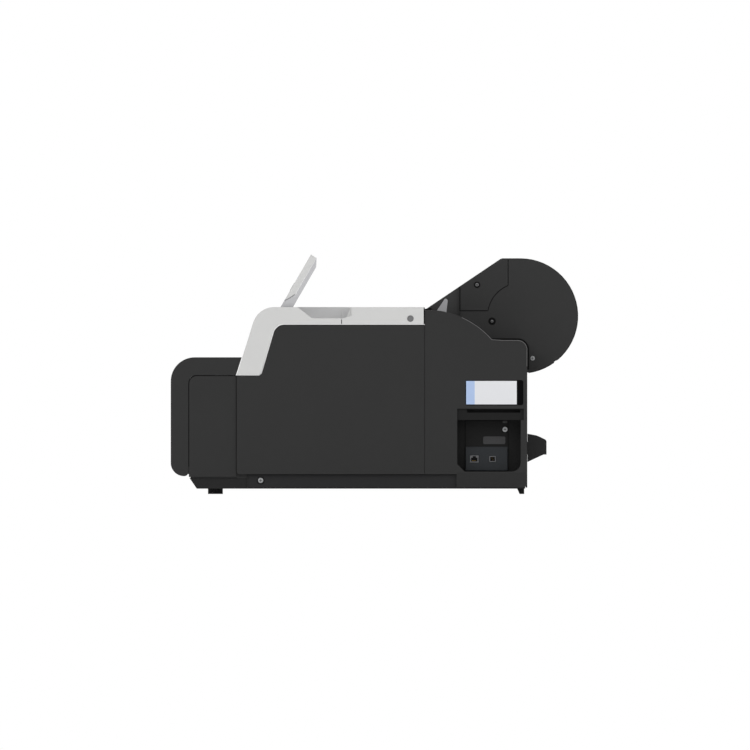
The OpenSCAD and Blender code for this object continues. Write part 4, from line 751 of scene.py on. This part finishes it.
# %% Gaskets, painted shadows and rim highlights on both sides
CAP_FACE, SIDE_FACE, CHEEK_FACE = 495, 491, 330
BAY_INNER_FACE = 251.3
FOAM_AND_SHADE = moulded("black_foam_and_shade", tone(15, 15, 15), 0.9, grain=0.0006, relief=0.00005, edge_wear_and_light=1.2, sheen=0.1)
doors, seams_and_shadows, seals_and_shadow, cases, rim_highlights = (Shape() for _ in range(5))
for side in (1, -1):
    place = mirror(side)
    # The ink bay door: its outer end, its inner end, its top, and the shadow of its seam.
    doors.prism(band(door_side, 0.9), SIDE_FACE - 3.8, SIDE_FACE - 0.4, place)
    doors.prism(band(door_side, 0.56), BAY_INNER_FACE, BAY_INNER_FACE + 1.5, place)
    doors.prism(band(door_top, 0.56), BAY_INNER_FACE, SIDE_FACE - 0.4, place)
    doors.prism(band(door_shadow, 1.8), SIDE_FACE - 0.5, SIDE_FACE + 0.08, place)
    # The case: in front of the rear housing, along the base pan, and under the ink bay.
    cases.box((486.5, 93.5, 37.2), (HOUSING_FACE - 0.4, 94.6, 318), place)
    seams_and_shadows.box((486.3, -238, 36.4), (488.5, 283, 37.25), place)
    cases.box((484.0, -346, 29.6), (486.9, -106, 32.3), place)
    # The top cap: its front end, and its rear end, where a strip a little proud of the side is a painted
    # shadow of the seam.
    seams_and_shadows.box((484.4, -62.5, 319.4), (CAP_FACE + 0.05, -61.1, 328), place)
    seams_and_shadows.box((CAP_FACE - 0.5, 92.5, 319.3), (CAP_FACE + 0.08, 94.6, 350.4), place)
    # The cheek: round its service cap, where the strip stands a little proud of the cheek as a painted shadow
    # of the cap's seam, at its tip, along the housing's arch, and round the rear corner, where the black
    # strip also is a painted shadow of the gap.
    seams_and_shadows.prism(band(cap_edge, 1.5), CHEEK_FACE - 0.1, CHEEK_FACE + 0.35, place)
    seams_and_shadows.box((CHEEK_FACE - 0.1, 159.9, 344.5), (CHEEK_FACE + 1, 161.3, 388.5), place)
    seals_and_shadow.prism(cheek_tip, CHEEK_FACE - 5.5, CHEEK_FACE + 0.2, place)
    cases.prism(band(arch_seal, 3.0), CHEEK_FACE - 0.1, CHEEK_FACE + 1.7, place)
    seals_and_shadow.prism(band(corner_seal_and_shadow, 3.0), CHEEK_FACE - 0.1, CHEEK_FACE + 1.7, place)
    # A pale strip on the housing's rim: a painted highlight for the light its rounded edge catches.
    rim_highlights.prism(band(rim, 1.3), HOUSING_FACE - 0.1, HOUSING_FACE + 0.12, place)
# On the left the top cap has no panel pocket, so its front seam runs on over the top.
seams_and_shadows.box((-493.8, -62.2, 330), (-491.5, -61.4, 350.9))
seams_and_shadows.box((-491.5, -62.2, 348.6), (-250.4, -61.4, 350.9))
doors.finish("door_gaskets_and_shadow", "cabinet", "rubber", FOAM_AND_SHADE)
seams_and_shadows.finish("seam_gaskets_and_shadows", "cabinet", "rubber", FOAM_AND_SHADE)
seals_and_shadow.finish("cheek_seals_and_shadow", "cabinet", "rubber", FOAM_AND_SHADE)
cases.finish("case_seals", "cabinet", "rubber", ROLL_CASE)
rim_highlights.finish("housing_rim_highlights", "cabinet", None, moulded("rim_highlight_grey", tone(96, 96, 96), 0.5, edge_wear_and_light=1.1))

# %% [markdown]
# The control panel folds into a pocket that crosses the seam between two pale pieces, and daylight would
# show through the split in the pocket's wall. A pale strip inside closes it.

# %% Pocket strip
pocket = Shape().box((259.9, -62.9, 326.5), (260.2, -60.7, 351))
pocket.finish("pocket_strip", "cabinet", None, PALE_CORNER)

# %% [markdown]
# ## What repeats
# Ribs, louvres, teeth and pins stand in rows, so a Geometry Nodes tree grows them from a count and a
# step. The same tree serves all of them: a line of points, a second line on each, a box on every point.
# `grow` sets the inputs, takes the finished mesh and leaves no modifier behind.

# %% Node trees
def tree_of(name, inputs):
    """An empty Geometry Nodes tree with named inputs, and the sockets they arrive at."""
    tree = bpy.data.node_groups.new(name, "GeometryNodeTree")
    tree.interface.new_socket("Geometry", in_out="INPUT", socket_type="NodeSocketGeometry")
    for label, kind in inputs.items():
        tree.interface.new_socket(label, in_out="INPUT", socket_type="NodeSocket" + kind)
    tree.interface.new_socket("Geometry", in_out="OUTPUT", socket_type="NodeSocketGeometry")
    return tree, tree.nodes.new("NodeGroupInput").outputs, tree.nodes.new("NodeGroupOutput").inputs


def node_in(tree, kind, settings=None, **links):
    """A node's first output; a link names an input, with _ for a space, and gives its socket or value."""
    node = tree.nodes.new(kind)
    for key, value in (settings or {}).items():
        setattr(node, key, value)
    for key, value in links.items():
        socket = node.inputs[key.replace("_", " ")]
        if isinstance(value, bpy.types.NodeSocket):
            tree.links.new(value, socket)
        else:
            socket.default_value = value
    return node.outputs[0]


def joined(tree, *parts):
    """Several geometries as one."""
    join = tree.nodes.new("GeometryNodeJoinGeometry")
    for part in parts:
        tree.links.new(part, join.inputs["Geometry"])
    return join.outputs[0]


def rows_tree():
    """Boxes along a line, and that line again along another."""
    tree, given, result = tree_of("rows_of_boxes", {
        "Count": "Int", "Step": "Vector", "Rows": "Int", "Row Step": "Vector", "Start": "Vector",
        "Size": "Vector", "Material": "Material"})
    by_step = {"mode": "OFFSET"}
    rows = node_in(tree, "GeometryNodeMeshLine", by_step, Count=given["Rows"], Offset=given["Row Step"],
                   Start_Location=given["Start"])
    line = node_in(tree, "GeometryNodeMeshLine", by_step, Count=given["Count"], Offset=given["Step"])
    box = node_in(tree, "GeometryNodeMeshCube", Size=given["Size"])
    spread = node_in(tree, "GeometryNodeInstanceOnPoints", Points=rows, Instance=line)
    points = node_in(tree, "GeometryNodeRealizeInstances", Geometry=spread)
    boxes = node_in(tree, "GeometryNodeInstanceOnPoints", Points=points, Instance=box)
    real = node_in(tree, "GeometryNodeRealizeInstances", Geometry=boxes)
    painted = node_in(tree, "GeometryNodeSetMaterial", Geometry=real, Material=given["Material"])
    tree.links.new(painted, result["Geometry"])
    return tree


def grow(name, tree, values, body, points=None, replaces=()):
    """The mesh that the tree makes from those inputs, as a piece of the plotter."""
    mesh = points or bpy.data.meshes.new(name + "_seed")
    seed = bpy.data.objects.new(name + "_seed", mesh)
    bpy.context.scene.collection.objects.link(seed)
    modifier = seed.modifiers.new("grow", "NODES")
    modifier.node_group = tree
    for item in tree.interface.items_tree:
        if item.in_out == "INPUT" and item.name in values:
            modifier[item.identifier] = values[item.name]
    bpy.context.view_layer.update()
    grown = bpy.data.meshes.new_from_object(seed.evaluated_get(bpy.context.evaluated_depsgraph_get()))
    grown.name = name
    bpy.data.objects.remove(seed)
    bpy.data.meshes.remove(mesh)
    piece = bpy.data.objects.new(name, grown)
    bpy.context.scene.collection.objects.link(piece)
    settle(piece, body, replaces)


ROWS = rows_tree()
print("the tree for rows has", len(ROWS.nodes), "nodes")

# %% [markdown]
# ## Ribs, blades, pins and teeth
# Ribs on the tray keep a wet print off it, and the louvres at the rear stand in front of a dark screen.
# The belt's teeth face inwards on both of its runs, the sockets' pins are gilt, and the platen's holes
# hold the sheet flat by suction. The rows on the tray, the rear, the belt and the platen take their
# places from those nodes' boxes.

# %% Rows
def row(name, look, count, step, start, size, rows=1, row_step=(0, 0, 0)):
    """Boxes in rows on the cabinet, with every size in millimetres."""
    values = {"Count": count, "Rows": rows, "Material": look}
    for key, vector in (("Step", step), ("Row Step", row_step), ("Start", start), ("Size", size)):
        values[key] = tuple(v * MM for v in vector)
    grow(name, ROWS, values, "cabinet")


INNER_BLACK, RUBBER = FINISH["inner_black"], FINISH["rubber"]
GOLD = rolled_metal("contact_gold", tone(206, 168, 88), 0.3, (0.1, 1, 1))
tray_low, tray_high = box_mm("output_tray")
tray_middle, tray_run = (tray_low.y + tray_high.y) / 2, tray_high.y - tray_low.y
row("tray_ribs", INNER_BLACK, 18, (26, 0, 0), (-221, tray_middle, tray_high.z + 0.45),
    (2.2, tray_run - 16, 1.1))
back_face = box_mm("rear_cover")[1].y
row("rear_louvres", INNER_BLACK, 12, (12, 0, 0), (62, back_face - 2.2, 100),
    (3.9, 0.8, 59.8), rows=2, row_step=(0, 0.9, 0))
row("vent_screen", INNER_BLACK, 1, (0, 0, 0), (128, back_face - 3.6, 100), (144, 0.8, 66))
belt_low, belt_high = box_mm("drive_belt")
belt_middle, teeth_apart = (belt_low.y + belt_high.y) / 2, belt_high.z - belt_low.z - 2.9
row("belt_teeth", RUBBER, 170, (5, 0, 0), (-422.5, belt_middle, belt_low.z + 1.45),
    (2.2, 5.6, 0.7), rows=2, row_step=(0, 0, teeth_apart))
row("network_pins", GOLD, 8, (0, 1.02, 0), (454, 184.0, 62.4), (9, 0.5, 0.5))
row("usb_pins", GOLD, 2, (0, 2.2, 0), (451.8, 220.9, 64.1), (3.2, 1.0, 0.4),
    rows=2, row_step=(0, 0, 3.4))
plate_low, plate_high = box_mm("platen")
# The platen's holes are black squares laid in it: painted shade for the dark inside each hole.
row("suction_holes", RUBBER, 24, (18, 0, 0),
    (plate_low.x + 19, plate_low.y + 14, plate_high.z - 2.9), (4, 4, 0.3), rows=4, row_step=(0, 16, 0))

# %% [markdown]
# ## Screw heads
# Every case screw is the same pan head with a cross in it, at another size; the cross is two dark bars on
# the head, painted shade for its recess. The seed mesh holds one point per screw, with its radius and the
# side it faces as attributes, and the tree turns each head outwards. Most heads sit in wells, and a black
# disc under each head is painted shade for the dark of its well; a round plug in each top cap closes the
# hole of a screw further in.

# %% Screw tree
def screw_tree():
    """A pan head with a flange and a cross, on every point."""
    tree, given, result = tree_of("screw_heads", {
        "Depth": "Float", "Head": "Material", "Recess": "Material"})
    head = node_in(tree, "GeometryNodeMeshCylinder", Vertices=32, Radius=0.86, Depth=1.0)
    flange = node_in(tree, "GeometryNodeMeshCylinder", Vertices=32, Radius=1.0, Depth=0.7)
    lowered = node_in(tree, "GeometryNodeTransform", Geometry=flange, Translation=(0, 0, -0.16))
    steel = joined(tree, lowered, head)
    metal = node_in(tree, "GeometryNodeSetMaterial", Geometry=steel, Material=given["Head"])
    # The cross is two dark bars laid on the head: painted shade for the recess of a cross slot.
    bars = []
    for size in ((1.1, 0.26, 0.1), (0.26, 1.1, 0.1)):
        bar = node_in(tree, "GeometryNodeMeshCube", Size=size)
        bars.append(node_in(tree, "GeometryNodeTransform", Geometry=bar, Translation=(0, 0, 0.47)))
    dark = node_in(tree, "GeometryNodeSetMaterial", Geometry=joined(tree, *bars), Material=given["Recess"])
    whole = joined(tree, metal, dark)
    radius = node_in(tree, "GeometryNodeInputNamedAttribute", {"data_type": "FLOAT"}, Name="radius")
    side = node_in(tree, "GeometryNodeInputNamedAttribute", {"data_type": "FLOAT"}, Name="side")
    turn = tree.nodes.new("ShaderNodeMath")
    turn.operation = "MULTIPLY"
    tree.links.new(side, turn.inputs[0])
    turn.inputs[1].default_value = math.radians(90)
    spin = node_in(tree, "ShaderNodeCombineXYZ", Y=turn.outputs[0])
    size = node_in(tree, "ShaderNodeCombineXYZ", X=radius, Y=radius, Z=given["Depth"])
    heads = node_in(tree, "GeometryNodeInstanceOnPoints", Points=given["Geometry"], Instance=whole,
                    Rotation=spin, Scale=size)
    tree.links.new(node_in(tree, "GeometryNodeRealizeInstances", Geometry=heads), result["Geometry"])
    return tree


SCREWS = screw_tree()


def screws(name, places, depth, head, recess, replaces=()):
    """Heads at (x, y, z, radius), facing away from the middle."""
    points = bpy.data.meshes.new(name + "_seed")
    points.from_pydata([Vector(place[:3]) * MM for place in places], [], [])
    radii = [place[3] * MM for place in places]
    sides = [math.copysign(1, place[0]) for place in places]
    for label, values in (("radius", radii), ("side", sides)):
        points.attributes.new(label, "FLOAT", "POINT").data.foreach_set("value", values)
    inputs = {"Depth": depth * MM, "Head": head, "Recess": recess}
    grow(name, SCREWS, inputs, "cabinet", points, replaces)


def on_both_sides(x, centre, radius):
    """The same screw on the right and on the left."""
    return [(x, *centre, radius), (-x, *centre, radius)]


def from_spindle(across, up):
    """A place on the cheek, as shares of the roll cover's radius from the spindle."""
    return (SPINDLE_AT[0] / MM + COVER_RADIUS * across, SPINDLE_AT[1] / MM + COVER_RADIUS * up)


COVER_RADIUS = 107
BRIGHT = rolled_metal("bright_screw", tone(150, 151, 152), 0.42, (1, 0.2, 1))
# The bright screws' crosses take this dark grey: painted shade for their recesses.
CROSS_SHADE = moulded("cross_shade_grey", tone(58, 58, 60), 0.4, edge_wear_and_light=1.6, sheen=0.5)
SCREW_GREY = moulded("screw_grey", tone(104, 104, 105), 0.45, edge_wear_and_light=1.3, sheen=0.4)
print("the screw tree has", len(SCREWS.nodes), "nodes")

# %% Screws, painted well shade and plugs
cap_at = from_spindle(-0.763, 0.549)
shoulder_at = from_spindle(-0.5, -0.0925)
cheek_at = from_spindle(0.212, -0.743)
base_at = (-214, 25.5)
port_at = (245.4, 121.5)
plug_at = (67.7, 329.7)
bright_ones = on_both_sides(CHEEK_FACE + 0.1, cheek_at, 4.2)
bright_ones += [(RECESS_BACK + 3, *port_at, 4.8)]
bright_ones += on_both_sides(SIDE_FACE - 1.1, base_at, 4.9)
grey_ones = on_both_sides(CHEEK_FACE + 1, cap_at, 3.3)
grey_ones += on_both_sides(CHEEK_FACE + 0.5, shoulder_at, 2.6)
screws("cheek_screws", bright_ones, 2.0, BRIGHT, CROSS_SHADE, replaces=("case_screws",))
screws("cap_screws", grey_ones, 1.6, SCREW_GREY, FOAM_AND_SHADE)

# Each well is a black disc: painted shade for the dark of a counterbore.
WELL_SHADES = ((cap_at, 6.0, CHEEK_FACE + 0.75), (shoulder_at, 7.0, CHEEK_FACE + 0.2),
         (base_at, 6.9, SIDE_FACE - 1.65))
well_shades, plugs = Shape(), Shape()
for side in (1, -1):
    for centre, radius, face in WELL_SHADES:
        well_shades.prism(disc(centre, radius), face - 1, face, mirror(side))
    plugs.prism(disc(plug_at, 5.9), CAP_FACE - 1.6, CAP_FACE - 0.3, mirror(side))
well_shades.finish("screw_well_shades", "cabinet", "rubber", FOAM_AND_SHADE)
# The plugs' edges are darker, not paler: painted shade for the gap round each plug.
PLUG_GREY = moulded("plug_grey", tone(112, 112, 113), 0.5, edge_wear_and_light=0.6, edge=0.0009)
plugs.finish("cap_plugs", "cabinet", "trim_grey", PLUG_GREY)

# %% [markdown]
# ## The tilting panel
# The panel's own parts are laid flat first and then leaned back by its tilt, as the solids were. The
# button gets a plain ring with a stroke in it, beside a small lamp, and the glass a thin dark seal. A grey
# line on each of the panel's ends is a painted shadow, cast by the step at the bezel's lower edge.

# %% The button's mark
HINGE_Y, HINGE_Z, TILT = -170.0, 336.5, math.radians(60)
BUTTON_X, BUTTON_Y = 459, 54
MARK_LOW, MARK_HIGH = 13.6, 13.95


def leaned(x, y, z):
    """A point of the flat panel, in its place on the machine."""
    along, up = math.cos(TILT), math.sin(TILT)
    return x, HINGE_Y + y * along - z * up, HINGE_Z + y * up + z * along


def flat_ring(shape, inner, outer):
    """A ring lying on the button, as one closed band."""
    rings = []
    for radius, z in ((inner, MARK_LOW), (outer, MARK_LOW), (outer, MARK_HIGH), (inner, MARK_HIGH)):
        rings.append(shape.ring([leaned(x, y, z) for x, y in disc((BUTTON_X, BUTTON_Y), radius)]))
    for i in range(len(rings)):
        shape.skin(rings[i], rings[(i + 1) % len(rings)])


mark = Shape()
flat_ring(mark, 2.6, 3.3)
mark.box((BUTTON_X - 0.35, BUTTON_Y + 1.0, MARK_LOW), (BUTTON_X + 0.35, BUTTON_Y + 3.0, MARK_HIGH), leaned)
mark.finish("button_mark", "power_button", None, moulded("mark_white", tone(210, 212, 214), 0.4, edge_wear_and_light=1.0))

# %% Lamp, painted step shadow and the screen's seal
status_look = surface(Board(bpy.data.materials.new("status_lamp")), Base_Color=tone(60, 150, 220),
                      Roughness=0.3, Emission_Color=tone(70, 170, 240), Emission_Strength=0.6)
status = Shape().box((456.5, 73.5, 12.8), (461.5, 75, 13.4), leaned)
status.finish("status_lamp", "control_panel", None, status_look)

PANEL_ENDS = (268, 480)
# A grey line on each end of the panel: a painted shadow cast by the step at the bezel's lower edge.
step_shadow_line = [(-169.4, 363.6), (-160, 368.2), (-149.6, 375.3)]
step_shadow = Shape()
for end in PANEL_ENDS:
    step_shadow.prism(band(step_shadow_line, 1.3), end - 0.15, end + 0.15)
step_shadow.finish("panel_step_shadow", "control_panel", None, moulded("step_shadow_grey", tone(120, 120, 121), 0.6))

SEAL_WIDTH, SEAL_LOW, SEAL_HIGH = 0.3, 10.4, 13.1
GLASS_NEAR, GLASS_FAR = 35.0, 113.7
left, right = (corner.x for corner in box_mm("touch_screen"))
around = ((left - SEAL_WIDTH, GLASS_NEAR - SEAL_WIDTH, right + SEAL_WIDTH, GLASS_NEAR),
          (left - SEAL_WIDTH, GLASS_FAR, right + SEAL_WIDTH, GLASS_FAR + SEAL_WIDTH),
          (left - SEAL_WIDTH, GLASS_NEAR, left, GLASS_FAR),
          (right, GLASS_NEAR, right + SEAL_WIDTH, GLASS_FAR))
seal = Shape()
for low_x, low_y, high_x, high_y in around:
    seal.box((low_x, low_y, SEAL_LOW), (high_x, high_y, SEAL_HIGH), leaned)
seal.finish("screen_seal", "control_panel", "rubber", FOAM_AND_SHADE)
